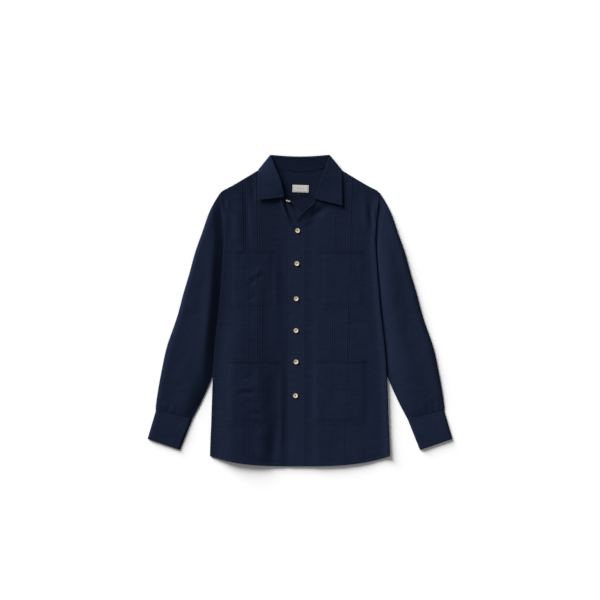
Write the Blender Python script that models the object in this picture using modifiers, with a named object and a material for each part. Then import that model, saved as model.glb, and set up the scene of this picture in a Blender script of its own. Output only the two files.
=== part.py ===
"""Long-sleeved guayabera shirt laid flat on its back.

Frame: metres, +Z up from the surface that the shirt lies on, +Y towards the collar,
+X towards the wearer's left. The tables below are in millimetres and are scaled once,
where a point becomes a mesh vertex. The wearer's left front laps over the right one.
"""

import math

import bmesh
import bpy
from mathutils import Vector

MM = 0.001

# Cloth and seams
WALL = 1.2                  # thickness of every cloth wall
GAP = 0.3                   # air left at a seam and between two layers
LAYER = WALL + GAP          # height of one layer of cloth with its air
NECK_LIFT = LAYER           # the back's top lies on the collar leaf
NECK_LIFT_START = 300.0
NECK_LIFT_END = 325.0

# Body outline
HEM_Y = -404.7              # lowest point of the hem, at the centre
HEM_RISE = 26.5             # how far the hem has risen at the side seams
HEM_CORNER_X = 234.0
NECK_POINT = (88.0, 377.0)  # where the shoulder seam meets the neck seam
SHOULDER_TIP = (208.5, 304.0)
SHOULDER_ROUND = 2.5
BACK_NECK_Y = 360.0
SEAM_RAMP = 35.0            # width over which a front settles from its band
SIDE_RAMP = 25.0

# Rows and columns of the back: flat rows, then rows that fan out to the neck and shoulders
BACK_FLAT_ROWS = (-298.0, -213.0, -128.7, -63.0, 1.3, 79.0, 156.0, 200.0)
BACK_FAN = (0.3, 0.6, 0.8, 1.0)
BACK_SHARES = (0.1, 0.2, 0.32, 0.42, 0.56, 0.7, 0.86, 1.0)   # of the half width

# Side seam and armhole: y, x
SIDE_SEAM = (
    (-378.2, 234.0),
    (-284.7, 230.6),
    (-171.1, 226.6),
    (-92.3, 221.0),
    (1.3, 210.6),
    (81.9, 203.6),
    (157.3, 198.4),
    (196.3, 197.6),
    (248.3, 201.5),
    (304.0, 208.5),
)

# Cross rows of the left front, hem to shoulder. The band lies between the free edge and
# the seam, and stops where its free edge is None. Heights are the underside of the cloth.
# free edge x, y, z | band seam x, y, z | body z | side y, z
LEFT_ROWS = {
    "hem": ((-30.5, HEM_Y, 3.0), (13.0, HEM_Y, 3.0), 2.0, (-378.2, 1.5)),
    "lower_pocket_bottom": ((-30.3, -298.0, 3.0), (13.0, -298.0, 3.0), 2.2, (-298.0, 1.5)),
    "lower_pocket_top": ((-30.0, -128.7, 3.0), (13.0, -128.7, 3.0), 2.2, (-128.7, 1.5)),
    "chest_pocket_bottom": ((-29.5, 1.3, 3.0), (13.0, 1.3, 3.0), 2.2, (1.3, 1.5)),
    "chest_pocket_top": ((-29.0, 156.0, 3.0), (13.0, 156.0, 3.0), 2.2, (156.0, 1.5)),
    "above_pocket": ((-27.0, 200.0, 3.0), (13.5, 203.0, 3.0), 2.2, (190.0, 1.5)),
    "opening_foot": ((-13.5, 226.0, 3.8), (18.0, 228.0, 3.2), 2.4, (215.0, 1.5)),
    "opening_low": ((-4.0, 243.0, 5.0), (27.0, 246.0, 4.0), 2.6, (234.0, 1.5)),
    "opening_mid": ((12.0, 259.0, 5.8), (39.0, 262.0, 4.6), 2.8, (250.0, 1.6)),
    "opening_high": ((28.0, 273.0, 6.0), (50.0, 278.0, 4.8), 3.0, (263.0, 1.8)),
    "band_top": ((37.5, 288.0, 5.8), (57.0, 296.0, 4.6), 3.0, (276.0, 2.0)),
    "neck_low": (None, (72.0, 318.0, 4.8), 3.2, (287.0, 2.4)),
    "neck_high": (None, (83.0, 348.0, 4.4), 3.2, (296.0, 2.8)),
    "shoulder": (None, (88.0, 377.0, 3.6), 3.2, (304.0, 3.0)),
}

# The right front's rows, with its own x mirrored so that its side seam is at +x too.
RIGHT_ROWS = {
    "hem": ((-8.0, HEM_Y, 1.5), (31.0, HEM_Y, 1.5), 2.0, (-378.2, 1.5)),
    "lower_pocket_bottom": ((-8.0, -298.0, 1.5), (31.0, -298.0, 1.5), 2.2, (-298.0, 1.5)),
    "lower_pocket_top": ((-8.0, -128.7, 1.5), (31.0, -128.7, 1.5), 2.2, (-128.7, 1.5)),
    "chest_pocket_bottom": ((-8.0, 1.3, 1.5), (31.0, 1.3, 1.5), 2.2, (1.3, 1.5)),
    "chest_pocket_top": ((-8.0, 156.0, 1.5), (31.0, 156.0, 1.5), 2.2, (156.0, 1.5)),
    "above_pocket": ((-8.5, 200.0, 1.5), (31.0, 200.0, 1.5), 2.2, (190.0, 1.5)),
    "opening_foot": ((-8.5, 228.0, 1.5), (30.0, 226.0, 1.8), 2.4, (215.0, 1.5)),
    "opening_low": ((-7.5, 250.0, 1.7), (29.5, 248.0, 2.4), 2.6, (234.0, 1.5)),
    "opening_mid": ((1.0, 261.0, 2.2), (32.0, 262.0, 3.0), 2.8, (250.0, 1.6)),
    "opening_high": ((12.0, 274.0, 2.8), (37.0, 276.0, 3.8), 3.0, (263.0, 1.8)),
    "band_top": ((20.5, 285.5, 3.4), (48.0, 296.0, 4.4), 3.0, (276.0, 2.0)),
    "neck_low": (None, (70.0, 318.0, 4.8), 3.2, (287.0, 2.4)),
    "neck_high": (None, (83.0, 348.0, 4.4), 3.2, (296.0, 2.8)),
    "shoulder": (None, (88.0, 377.0, 3.6), 3.2, (304.0, 3.0)),
}
ROW_NAMES = tuple(LEFT_ROWS)
CHEST_TOP_ROW = ROW_NAMES.index("chest_pocket_top")
BAND_TOP_ROW = ROW_NAMES.index("band_top")
HALVED_ROWS = CHEST_TOP_ROW  # rows up to the chest pocket's top get one row between them

# Lengthwise lines of a front: x at the hem, at the chest pocket's top, at the shoulder
LEFT_LINES = {
    "lower_pocket_inner": (29.9, 29.9, 90.5),
    "chest_pocket_inner": (55.9, 55.9, 93.0),
    "inner_tuck": (75.5, 89.0, 97.0),
    "outer_tuck": (113.5, 129.5, 136.0),
    "chest_pocket_outer": (166.4, 166.4, 171.0),
    "lower_pocket_outer": (172.9, 172.9, 177.0),
}
RIGHT_LINES = {
    "lower_pocket_inner": (53.0, 53.0, 91.0),
    "chest_pocket_inner": (70.0, 70.0, 94.0),
    "inner_tuck": (98.6, 98.6, 102.0),
    "outer_tuck": (137.0, 138.0, 141.0),
    "chest_pocket_outer": (179.0, 179.0, 183.0),
    "lower_pocket_outer": (190.5, 188.5, 191.0),
}
TUCK_PITCH = 4.0            # two fine tucks this far apart along each tuck line
TUCK_HEIGHT = 0.9
TUCK_OFFSETS = (-0.5, 0.0, 0.5, 1.0, 1.5)   # in pitches; whole numbers are ridges

# Largest soft folds of the fronts: start x, y | end x, y | half width | height
FOLDS = (
    ((-52.0, -400.0), (-52.0, -110.0), 9.0, 0.9),     # beside the placket, low
    ((-128.0, 165.0), (-126.0, 300.0), 12.0, 1.2),    # right chest, below the shoulder
    ((-180.0, 296.0), (-172.0, 215.0), 12.0, 1.4),    # right armhole
    ((186.0, 276.0), (182.0, 190.0), 10.0, 1.3),      # left armhole
    ((-112.0, -398.0), (-108.0, -320.0), 16.0, 1.2),  # right hem
    ((150.0, -390.0), (158.0, -320.0), 16.0, 0.9),    # left hem
)

# Sleeve rings, armhole to cuff: outer edge x, y | inner edge x, y | height.
# The first rings' inner edges lie along the body's side seam, whatever their own x.
SLEEVE_RINGS = (
    (210.0, 304.4, 204.0, 78.0, 3.7),
    (224.4, 280.6, 205.0, 66.0, 5.2),
    (237.9, 251.7, 206.0, 48.0, 6.6),
    (254.0, 204.0, 209.0, 20.0, 7.6),
    (272.0, 153.0, 212.0, -14.0, 7.8),
    (288.0, 95.0, 217.0, -56.0, 7.8),
    (303.0, 45.0, 221.0, -98.0, 7.8),
    (320.5, -20.0, 225.0, -138.0, 7.8),
    (345.5, -92.3, 229.0, -174.0, 7.8),
    (358.5, -150.0, 241.0, -205.0, 7.4),
    (368.6, -204.6, 258.2, -241.8, 6.8),
    (374.6, -246.0, 273.5, -271.0, 5.6),
    (374.4, -260.0, 278.6, -281.0, 4.6),
)
CUFF_RINGS = (
    (374.8, -260.9, 279.6, -282.0, 4.7),
    (385.0, -295.5, 295.0, -321.0, 4.8),
    (396.2, -333.6, 311.7, -362.4, 4.6),
)
SEAM_RINGS = 8              # rings that lie along the body's side
BOW_RINGS = 3.0             # rings over which the armhole's bow dies out
RING_HALVINGS = 2
SLEEVE_AIR = 1.2            # between the sleeve and the body's side

# Flattened tube section: share of the width, share of the height
TUBE_SECTION = (
    (0.0, 0.46), (0.015, 0.85), (0.06, 1.0), (0.28, 1.0), (0.5, 1.0), (0.72, 1.0),
    (0.94, 1.0), (0.985, 0.85), (1.0, 0.46), (0.97, 0.05), (0.72, 0.0), (0.5, 0.0),
    (0.28, 0.0), (0.03, 0.05),
)

# Collar sections from the left point round the back of the neck. The leaf starts at its
# fold, passes its turn and ends at its edge; the stand runs from its seam up to the fold.
# fold x, y, z | turn x, y, z | edge x, y, z | drop | stand seam x, y, z
COLLAR_FRONT_LEFT = (
    ((36.4, 289.0, 8.6), (42.0, 288.4, 8.9), (109.7, 272.5, 7.6), 1.0, (45.0, 293.2, 6.2)),
    ((45.0, 318.5, 10.4), (50.5, 317.5, 10.8), (109.2, 303.0, 6.9), 1.0, (63.5, 308.0, 6.2)),
    ((53.8, 341.0, 11.4), (59.3, 340.0, 11.7), (108.8, 332.0, 7.0), 1.0, (75.6, 331.0, 6.1)),
    ((65.0, 370.0, 11.0), (70.0, 368.5, 11.1), (108.4, 354.0, 7.0), 1.0, (83.6, 355.0, 5.8)),
)
COLLAR_FRONT_RIGHT = (
    ((40.8, 294.0, 8.6), (46.0, 293.2, 8.9), (110.2, 286.6, 7.6), 1.0, (48.5, 299.5, 6.2)),
    ((46.0, 320.0, 10.4), (51.5, 319.0, 10.8), (109.6, 312.0, 6.9), 1.0, (62.5, 310.5, 6.2)),
    ((52.0, 342.0, 11.4), (57.5, 341.0, 11.7), (109.0, 335.0, 7.0), 1.0, (75.0, 332.0, 6.1)),
    ((63.5, 370.0, 11.0), (68.5, 368.5, 11.1), (108.4, 354.0, 7.0), 1.0, (83.6, 355.0, 5.8)),
)
COLLAR_WRAP = (
    ((73.5, 396.0, 9.0), (76.5, 394.5, 8.9), (108.2, 362.6, 6.7), 1.0, (87.0, 376.0, 5.4)),
    ((75.8, 402.8, 7.6), (78.0, 402.6, 6.6), (109.6, 368.8, 3.3), 1.0, (85.0, 380.0, 4.8)),
    ((69.0, 400.2, 6.4), (72.0, 404.2, 3.6), (107.8, 363.6, 0.0), 5.0, (78.0, 377.2, 4.4)),
    ((40.0, 397.6, 6.2), (41.0, 401.6, 3.8), (70.0, 333.0, 0.0), 9.0, (43.0, 366.2, 4.2)),
)
COLLAR_MIDDLE = ((0.0, 396.2, 6.2), (0.0, 400.2, 3.8), (0.0, 330.0, 0.0), 9.0, (0.0, 362.0, 4.2))
LEAF_STEPS = (0.0, 0.5, 1.0, 1.1, 1.25, 1.45, 1.7, 2.0)   # 1 is the turn, 2 is the edge
STAND_STEPS = 3
STAND_INSET = 2.2           # the stand's top edge stops this far inside the fold
COLLAR_HALVINGS = 2

# Buttons: x, y, and the band each is sewn through
BUTTON_RADIUS = 6.0
BUTTON_RIM = 0.9
BUTTON_THICKNESS = 2.0
BUTTON_HOLE_RADIUS = 0.6
BUTTON_HOLE_REACH = 1.4
BUTTON_SIDES = 20
BUTTON_BLEND = 1.0          # width of the slope from the rim down to the well
BUTTON_WELL = 0.35          # height of the well's floor, as a share of half the thickness
BUTTON_EDGE_WIDTH = 0.4     # the rim's outer chamfer: its width and its depth
BUTTON_EDGE_DEPTH = 0.55
BUTTON_FOOT_INSET = 1.2     # the underside is narrower by this much all round
BUTTON_DRILL_SIDES = 6
FRONT_BUTTONS = (
    (-6.2, 207.5), (-8.1, 121.9), (-10.0, 30.7), (-10.4, -52.0), (-10.4, -133.4), (-12.0, -221.0),
)
TOP_BUTTON = (-31.2, 284.0)
TOP_BUTTON_Z = 5.6
SLOPE_RISE = 0.35           # the second button lies where the placket starts to rise

# Neck label
LABEL_SIZE = (42.0, 19.0, 0.7)
LABEL_CENTRE = (1.5, 316.4)
LABEL_TURN = -2.0           # degrees
LABEL_Z = 3.4

NAVY = (0.0105, 0.0163, 0.0345, 1.0)
CREAM = (0.62, 0.52, 0.36, 1.0)
LABEL_GREY = (0.50, 0.49, 0.45, 1.0)


def smooth(value):
    """Ease from 0 to 1 as value goes from 0 to 1."""
    value = min(1.0, max(0.0, value))
    return value * value * (3.0 - 2.0 * value)


def mix(first, second, share):
    return first + (second - first) * share


def curve_at(points, t):
    """Point at t on a smooth curve through points, which are one unit of t apart."""
    last = len(points) - 1
    index = min(int(t), last - 1)
    share = t - index
    before = points[max(index - 1, 0)]
    start = points[index]
    end = points[index + 1]
    after = points[min(index + 2, last)]
    result = []
    for a, b, c, d in zip(before, start, end, after):
        bend = 2.0 * a - 5.0 * b + 4.0 * c - d
        twist = 3.0 * (b - c) + d - a
        result.append(b + 0.5 * share * (c - a + share * (bend + share * twist)))
    return result


def side_x(y):
    """Half width of the body at y, from the side seam's table."""
    ys = [row[0] for row in SIDE_SEAM]
    y = min(max(y, ys[0]), ys[-1])
    index = min(sum(1 for value in ys[1:] if value <= y), len(ys) - 2)
    share = (y - ys[index]) / (ys[index + 1] - ys[index])
    return curve_at(SIDE_SEAM, index + share)[1]


def hem_y(x):
    """Height of the curved hem across the shirt."""
    return HEM_Y + HEM_RISE * (abs(x) / HEM_CORNER_X) ** 3


def shoulder_y(x):
    """Shoulder seam from the neck point, rounded over at its outer end."""
    share = (abs(x) - NECK_POINT[0]) / (SHOULDER_TIP[0] - NECK_POINT[0])
    rounding = SHOULDER_ROUND * math.sin(math.pi * max(share, 0.0) ** 8)
    return mix(NECK_POINT[1], SHOULDER_TIP[1], share) + rounding


def neck_lift(y):
    """Height by which the back is raised over the collar leaf."""
    return NECK_LIFT * smooth((y - NECK_LIFT_START) / (NECK_LIFT_END - NECK_LIFT_START))


def fold_height(x, y):
    """Height of the soft folds at a point of the fronts."""
    height = 0.0
    for (x0, y0), (x1, y1), half_width, rise in FOLDS:
        length = math.hypot(x1 - x0, y1 - y0)
        along = ((x - x0) * (x1 - x0) + (y - y0) * (y1 - y0)) / length
        across = ((x - x0) * (y1 - y0) - (y - y0) * (x1 - x0)) / length
        ends = smooth(along / half_width) * smooth((length - along) / half_width)
        height += rise * ends * math.exp(-((across / half_width) ** 2))
    return height


class Front:
    """One front: its rows and lines turned into the points of its band and its panel."""

    def __init__(self, rows, lines, sign):
        self.rows = list(rows.values())
        self.lines = lines
        self.sign = sign
        self.row_steps = []
        for index in range(len(self.rows)):
            self.row_steps.append(float(index))
            if index < HALVED_ROWS:
                self.row_steps.append(index + 0.5)

    def step_of(self, row_name):
        """Index of a named row among the panel's rows."""
        return self.row_steps.index(float(ROW_NAMES.index(row_name)))

    def row_at(self, t):
        """Band edge, seam, body height and side of the row at t, straight between rows."""
        low = min(int(t), len(self.rows) - 2)
        share = t - low
        first = self.rows[low]
        second = self.rows[low + 1]
        edge = None
        if first[0] and second[0]:
            edge = [mix(a, b, share) for a, b in zip(first[0], second[0])]
        elif first[0] and share == 0.0:
            edge = first[0]
        seam = [mix(a, b, share) for a, b in zip(first[1], second[1])]
        body = mix(first[2], second[2], share)
        side = [mix(a, b, share) for a, b in zip(first[3], second[3])]
        return edge, seam, body, side

    def line_x(self, name, t):
        """Position of a lengthwise line at the row t."""
        at_hem, at_chest, at_shoulder = self.lines[name]
        if t <= CHEST_TOP_ROW:
            rows = [row[1][1] for row in self.rows]
            y = self.row_at(t)[1][1]
            return mix(at_hem, at_chest, (y - rows[0]) / (rows[CHEST_TOP_ROW] - rows[0]))
        share = (t - CHEST_TOP_ROW) / (len(self.rows) - 1 - CHEST_TOP_ROW)
        return mix(at_chest, at_shoulder, share)

    def columns(self, t):
        """x and added height of every column at the row t, and the index of each line."""
        seam_x = self.row_at(t)[1][0] + 0.5 * GAP
        outer_x = side_x(self.row_at(t)[3][0])
        xs = [(seam_x, 0.0)]
        marks = {}
        for name in self.lines:
            x = self.line_x(name, t)
            previous = xs[-1][0]
            if name == "outer_tuck":
                xs.append((mix(previous, x, 0.45), 0.0))
            else:
                xs.append((mix(previous, x, 0.5), 0.0))
            marks[name] = len(xs)
            if name.endswith("tuck"):
                for offset in TUCK_OFFSETS:
                    ridge = TUCK_HEIGHT if offset == int(offset) else 0.0
                    xs.append((x + offset * TUCK_PITCH, ridge))
            else:
                xs.append((x, 0.0))
        last = xs[-1][0]
        xs.append((mix(last, outer_x, 0.5), 0.0))
        xs.append((outer_x, 0.0))
        return xs, marks

    def panel_point(self, column, row):
        """Underside point of the panel at a column and row of its grid, in millimetres."""
        t = self.row_steps[row]
        _, seam, body, side = self.row_at(t)
        x, ridge = self.columns(t)[0][column]
        outer_x = side_x(side[0])
        share = (x - seam[0]) / (outer_x - seam[0])
        y = mix(seam[1], side[0], share)
        if t <= 1.0:
            y = mix(hem_y(x), self.rows[1][1][1], t)
        elif t == len(self.rows) - 1:
            y = shoulder_y(x)
        near_seam = 1.0 - smooth((x - seam[0]) / SEAM_RAMP)
        near_side = smooth((x - outer_x) / SIDE_RAMP + 1.0)
        z = body + (seam[2] - body) * near_seam + (side[1] - body) * near_side
        flatten = 1.0 - near_seam
        z += (ridge + fold_height(self.sign * x, y)) * flatten * (1.0 - near_side)
        return Vector((self.sign * x, y, z))

    def band_point(self, share, row):
        """Underside point of the band, share 0 at its free edge and 1 at its seam."""
        edge, seam, _, _ = self.row_at(self.row_steps[row])
        x = mix(edge[0], seam[0] - 0.5 * GAP, share)
        y = mix(edge[1], seam[1], share)
        if self.row_steps[row] < 1.0:
            y = mix(hem_y(x), self.rows[1][1][1], self.row_steps[row])
        return Vector((self.sign * x, y, mix(edge[2], seam[2], share)))


def material(name, colour, roughness):
    """A plain finish for one of the shirt's materials."""
    result = bpy.data.materials.new(name)
    result.use_nodes = True
    shader = result.node_tree.nodes["Principled BSDF"]
    shader.inputs["Base Color"].default_value = colour
    shader.inputs["Roughness"].default_value = roughness
    shader.inputs["Metallic"].default_value = 0.0
    return result


def add_object(name, mesh, finish, collection):
    """Put a mesh in the collection as a named piece."""
    result = bpy.data.objects.new(name, mesh)
    if not mesh.materials:
        mesh.materials.append(finish)
    collection.objects.link(result)
    return result


def warped_grid(columns, rows, place, wrapped=False):
    """Grid of columns x rows cells with each corner moved to place(column, row)."""
    bm = bmesh.new()
    bmesh.ops.create_grid(bm, x_segments=columns, y_segments=rows, size=0.5)
    for vertex in bm.verts:
        column = round((vertex.co.x + 0.5) * columns)
        row = round((vertex.co.y + 0.5) * rows)
        vertex.co = place(column, row) * MM
    if wrapped:
        bmesh.ops.remove_doubles(bm, verts=bm.verts[:], dist=0.00001)
    return bm


def finish_mesh(bm, name):
    """Turn a bmesh into a smooth-shaded mesh."""
    mesh = bpy.data.meshes.new(name)
    bm.to_mesh(mesh)
    bm.free()
    mesh.shade_smooth()
    return mesh


def flat_panel(name, columns, rows, place, finish, collection):
    """A panel that lies flat: its underside points, closed a wall's thickness above."""
    bm = warped_grid(columns, rows, place)
    raised = bmesh.ops.extrude_face_region(bm, geom=bm.faces[:], use_keep_orig=True)
    top = [item for item in raised["geom"] if isinstance(item, bmesh.types.BMVert)]
    bmesh.ops.translate(bm, verts=top, vec=(0.0, 0.0, WALL * MM))
    bmesh.ops.recalc_face_normals(bm, faces=bm.faces[:])
    return add_object(name, finish_mesh(bm, name), finish, collection)


def shell(name, bm, offset, finish, collection):
    """An open surface given its wall with Solidify."""
    result = add_object(name, finish_mesh(bm, name), finish, collection)
    wall = result.modifiers.new("wall", "SOLIDIFY")
    wall.thickness = WALL * MM
    wall.offset = offset
    wall.use_even_offset = False
    return result


def build_back(finish, collection):
    """The back, flat on the surface and raised over the collar leaf at the neck."""
    flat_rows = BACK_FLAT_ROWS
    shares = tuple(-share for share in reversed(BACK_SHARES)) + (0.0,) + BACK_SHARES
    rows = 1 + len(flat_rows) + len(BACK_FAN)

    def top_y(x):
        if abs(x) <= NECK_POINT[0]:
            return mix(BACK_NECK_Y, NECK_POINT[1], (x / NECK_POINT[0]) ** 2)
        return shoulder_y(x)

    def place(column, row):
        if row <= len(flat_rows):
            y = flat_rows[row - 1] if row else HEM_Y + HEM_RISE
            x = shares[column] * side_x(y)
            return Vector((x, y if row else hem_y(x), 0.0))
        rise = BACK_FAN[row - len(flat_rows) - 1]
        last_flat = flat_rows[-1]
        side_y = mix(last_flat, SHOULDER_TIP[1], rise)
        x = shares[column] * side_x(side_y)
        y = mix(last_flat, top_y(x), rise)
        return Vector((x, y, neck_lift(y)))

    return flat_panel("back", len(shares) - 1, rows - 1, place, finish, collection)


def build_front(front, panel_name, band_name, finish, collection):
    """A front and the band along its free edge, side by side at their seam."""
    column_count = len(front.columns(0.0)[0])
    flat_panel(panel_name, column_count - 1, len(front.row_steps) - 1,
               front.panel_point, finish, collection)
    band_columns = 2
    band_rows = front.step_of("band_top")
    flat_panel(band_name, band_columns, band_rows,
               lambda column, row: front.band_point(column / band_columns, row),
               finish, collection)


def build_pocket(front, name, inner, outer, bottom, top, finish, collection):
    """A patch pocket made from the front's own points, one layer higher."""
    marks = front.columns(0.0)[1]
    first_column = marks[inner]
    first_row = front.step_of(bottom)
    lift = Vector((0.0, 0.0, LAYER))
    flat_panel(name, marks[outer] - first_column, front.step_of(top) - first_row,
               lambda column, row: front.panel_point(first_column + column, first_row + row) + lift,
               finish, collection)


def tube_bmesh(rings, sign, halvings, seam_rings):
    """A flattened open tube through rings, whose first rings follow the body's side."""
    count = len(TUBE_SECTION)

    def chord_point(ring, across):
        """Point of a ring's straight chord, and the ring's height."""
        outer_x, outer_y, inner_x, inner_y, height = curve_at(rings, ring)
        if ring < seam_rings:
            inner_x = side_x(inner_y) + SLEEVE_AIR
        return mix(inner_x, outer_x, across), mix(inner_y, outer_y, across), height

    def place(column, row):
        across, rise = TUBE_SECTION[column % count]
        ring = row / halvings
        x, y, height = chord_point(ring, across)
        if seam_rings:
            armhole_x, armhole_y, _ = chord_point(0.0, across)
            bow = side_x(armhole_y) + SLEEVE_AIR - armhole_x
            x += bow * (1.0 - smooth(ring / BOW_RINGS))
        return Vector((sign * x, y, rise * height))

    bm = warped_grid(count, (len(rings) - 1) * halvings, place, wrapped=True)
    bmesh.ops.recalc_face_normals(bm, faces=bm.faces[:])
    return bm


def build_sleeve(side, sign, finish, collection):
    """A sleeve and its cuff, both open tubes lying flat beside the body."""
    sleeve = tube_bmesh(SLEEVE_RINGS, sign, RING_HALVINGS, SEAM_RINGS)
    shell(side + "_sleeve", sleeve, -1.0, finish, collection)
    shell(side + "_cuff", tube_bmesh(CUFF_RINGS, sign, 1, 0), -1.0, finish, collection)


def collar_sections():
    """Every collar section from the left point to the right one, as flat number rows."""
    def flat(section, sign):
        fold, turn, edge, drop, seam = section
        numbers = []
        for x, y, z in (fold, turn, edge, seam):
            numbers.extend((sign * x, y, z))
        numbers.append(drop)
        return numbers

    left = [flat(section, 1.0) for section in COLLAR_FRONT_LEFT + COLLAR_WRAP]
    right = [flat(section, -1.0) for section in COLLAR_FRONT_RIGHT + COLLAR_WRAP]
    return left + [flat(COLLAR_MIDDLE, 1.0)] + right[::-1]


def build_collar(finish, collection):
    """The stand and the leaf that folds over it."""
    sections = collar_sections()
    rows = (len(sections) - 1) * COLLAR_HALVINGS

    def section_at(row):
        numbers = curve_at(sections, row / COLLAR_HALVINGS)
        points = [Vector(numbers[start:start + 3]) for start in (0, 3, 6, 9)]
        return points + [numbers[12]]

    def leaf_place(column, row):
        fold, turn, edge, _, drop = section_at(row)
        step = LEAF_STEPS[column]
        if step <= 1.0:
            point = fold.lerp(turn, step)
        else:
            share = step - 1.0
            point = turn.lerp(edge, share)
            point.z = mix(edge.z, turn.z, (1.0 - share) ** drop)
        point.z = max(point.z, 0.0)
        return point

    def stand_place(column, row):
        fold, _, _, seam, _ = section_at(row)
        top = fold - Vector((0.0, 0.0, LAYER))
        top += (seam - top).normalized() * STAND_INSET
        return seam.lerp(top, column / STAND_STEPS)

    shell("collar_leaf", warped_grid(len(LEAF_STEPS) - 1, rows, leaf_place),
          -1.0, finish, collection)
    shell("collar_stand", warped_grid(STAND_STEPS, rows, stand_place), 1.0, finish, collection)


def button_mesh(finish):
    """A four-hole button with a raised rim, turned and then drilled."""
    half = BUTTON_THICKNESS * 0.5
    well = half * BUTTON_WELL
    rim = BUTTON_RADIUS - BUTTON_RIM
    profile = (
        (0.0, well), (rim - BUTTON_BLEND, well), (rim, half),
        (BUTTON_RADIUS - BUTTON_EDGE_WIDTH, half), (BUTTON_RADIUS, half - BUTTON_EDGE_DEPTH),
        (BUTTON_RADIUS - BUTTON_FOOT_INSET, -half), (0.0, -half),
    )
    bm = bmesh.new()
    vertices = [bm.verts.new((x * MM, 0.0, z * MM)) for x, z in profile]
    for first, second in zip(vertices, vertices[1:]):
        bm.edges.new((first, second))
    outline = bpy.data.meshes.new("button_outline")
    bm.to_mesh(outline)
    bm.free()
    blank = bpy.data.objects.new("button_blank", outline)
    bpy.context.scene.collection.objects.link(blank)
    turn = blank.modifiers.new("turn", "SCREW")
    turn.steps = BUTTON_SIDES
    turn.render_steps = BUTTON_SIDES
    turn.use_merge_vertices = True
    turn.merge_threshold = 0.00005

    drills = bmesh.new()
    for quarter in range(4):
        angle = math.radians(45.0 + 90.0 * quarter)
        centre = Vector((math.cos(angle), math.sin(angle), 0.0)) * BUTTON_HOLE_REACH * MM
        drill = bmesh.ops.create_cone(drills, cap_ends=True, segments=BUTTON_DRILL_SIDES,
                                      radius1=BUTTON_HOLE_RADIUS * MM,
                                      radius2=BUTTON_HOLE_RADIUS * MM,
                                      depth=3.0 * BUTTON_THICKNESS * MM)
        bmesh.ops.translate(drills, verts=drill["verts"], vec=centre)
    cutter = bpy.data.objects.new("button_drills", finish_mesh(drills, "button_drills"))
    bpy.context.scene.collection.objects.link(cutter)
    holes = blank.modifiers.new("holes", "BOOLEAN")
    holes.operation = "DIFFERENCE"
    holes.object = cutter

    bpy.context.view_layer.update()
    evaluated = blank.evaluated_get(bpy.context.evaluated_depsgraph_get())
    mesh = bpy.data.meshes.new_from_object(evaluated)
    mesh.name = "button"
    mesh.materials.clear()
    mesh.materials.append(finish)
    mesh.set_sharp_from_angle(angle=math.radians(35.0))
    bpy.data.objects.remove(blank)
    bpy.data.objects.remove(cutter)
    return mesh


def build_buttons(left_front, finish, collection):
    """Six closed buttons on the placket and the open one at the neck."""
    mesh = button_mesh(finish)
    band_z = left_front.rows[0][0][2] + WALL
    places = [(x, y, band_z + GAP) for x, y in FRONT_BUTTONS]
    top_x, top_y = FRONT_BUTTONS[0]
    places[0] = (top_x, top_y, band_z + GAP + SLOPE_RISE)
    places.insert(0, (*TOP_BUTTON, TOP_BUTTON_Z))
    for index, (x, y, z) in enumerate(places, start=1):
        button = add_object("button_%d" % index, mesh, finish, collection)
        button.location = Vector((x, y, z + 0.5 * BUTTON_THICKNESS)) * MM


def build_label(finish, collection):
    """The woven label sewn inside the back of the neck."""
    bm = bmesh.new()
    bmesh.ops.create_cube(bm, size=1.0)
    bmesh.ops.scale(bm, verts=bm.verts[:], vec=Vector(LABEL_SIZE) * MM)
    mesh = bpy.data.meshes.new("neck_label")
    bm.to_mesh(mesh)
    bm.free()
    label = add_object("neck_label", mesh, finish, collection)
    label.location = Vector((*LABEL_CENTRE, LABEL_Z + 0.5 * LABEL_SIZE[2])) * MM
    label.rotation_euler.z = math.radians(LABEL_TURN)


def main():
    for item in list(bpy.data.objects):
        bpy.data.objects.remove(item)
    shirt = bpy.data.collections.new("guayabera_shirt")
    bpy.context.scene.collection.children.link(shirt)
    navy = material("navy_linen", NAVY, 0.9)
    cream = material("cream_button", CREAM, 0.35)
    pale = material("woven_label", LABEL_GREY, 0.8)

    left_front = Front(LEFT_ROWS, LEFT_LINES, 1.0)
    right_front = Front(RIGHT_ROWS, RIGHT_LINES, -1.0)
    build_back(navy, shirt)
    build_front(left_front, "left_front", "buttonhole_band", navy, shirt)
    build_front(right_front, "right_front", "button_band", navy, shirt)
    for side, front in (("left", left_front), ("right", right_front)):
        build_pocket(front, side + "_chest_pocket", "chest_pocket_inner", "chest_pocket_outer",
                     "chest_pocket_bottom", "chest_pocket_top", navy, shirt)
        build_pocket(front, side + "_lower_pocket", "lower_pocket_inner", "lower_pocket_outer",
                     "lower_pocket_bottom", "lower_pocket_top", navy, shirt)
        build_sleeve(side, front.sign, navy, shirt)
    build_collar(navy, shirt)
    build_buttons(left_front, cream, shirt)
    build_label(pale, shirt)


main()
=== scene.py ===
"""Long-sleeved guayabera shirt laid flat: its cloth, stitching, buttons and finishes."""

import math

import bmesh
import bpy
import numpy as np
from mathutils import Matrix, Vector, noise


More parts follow.
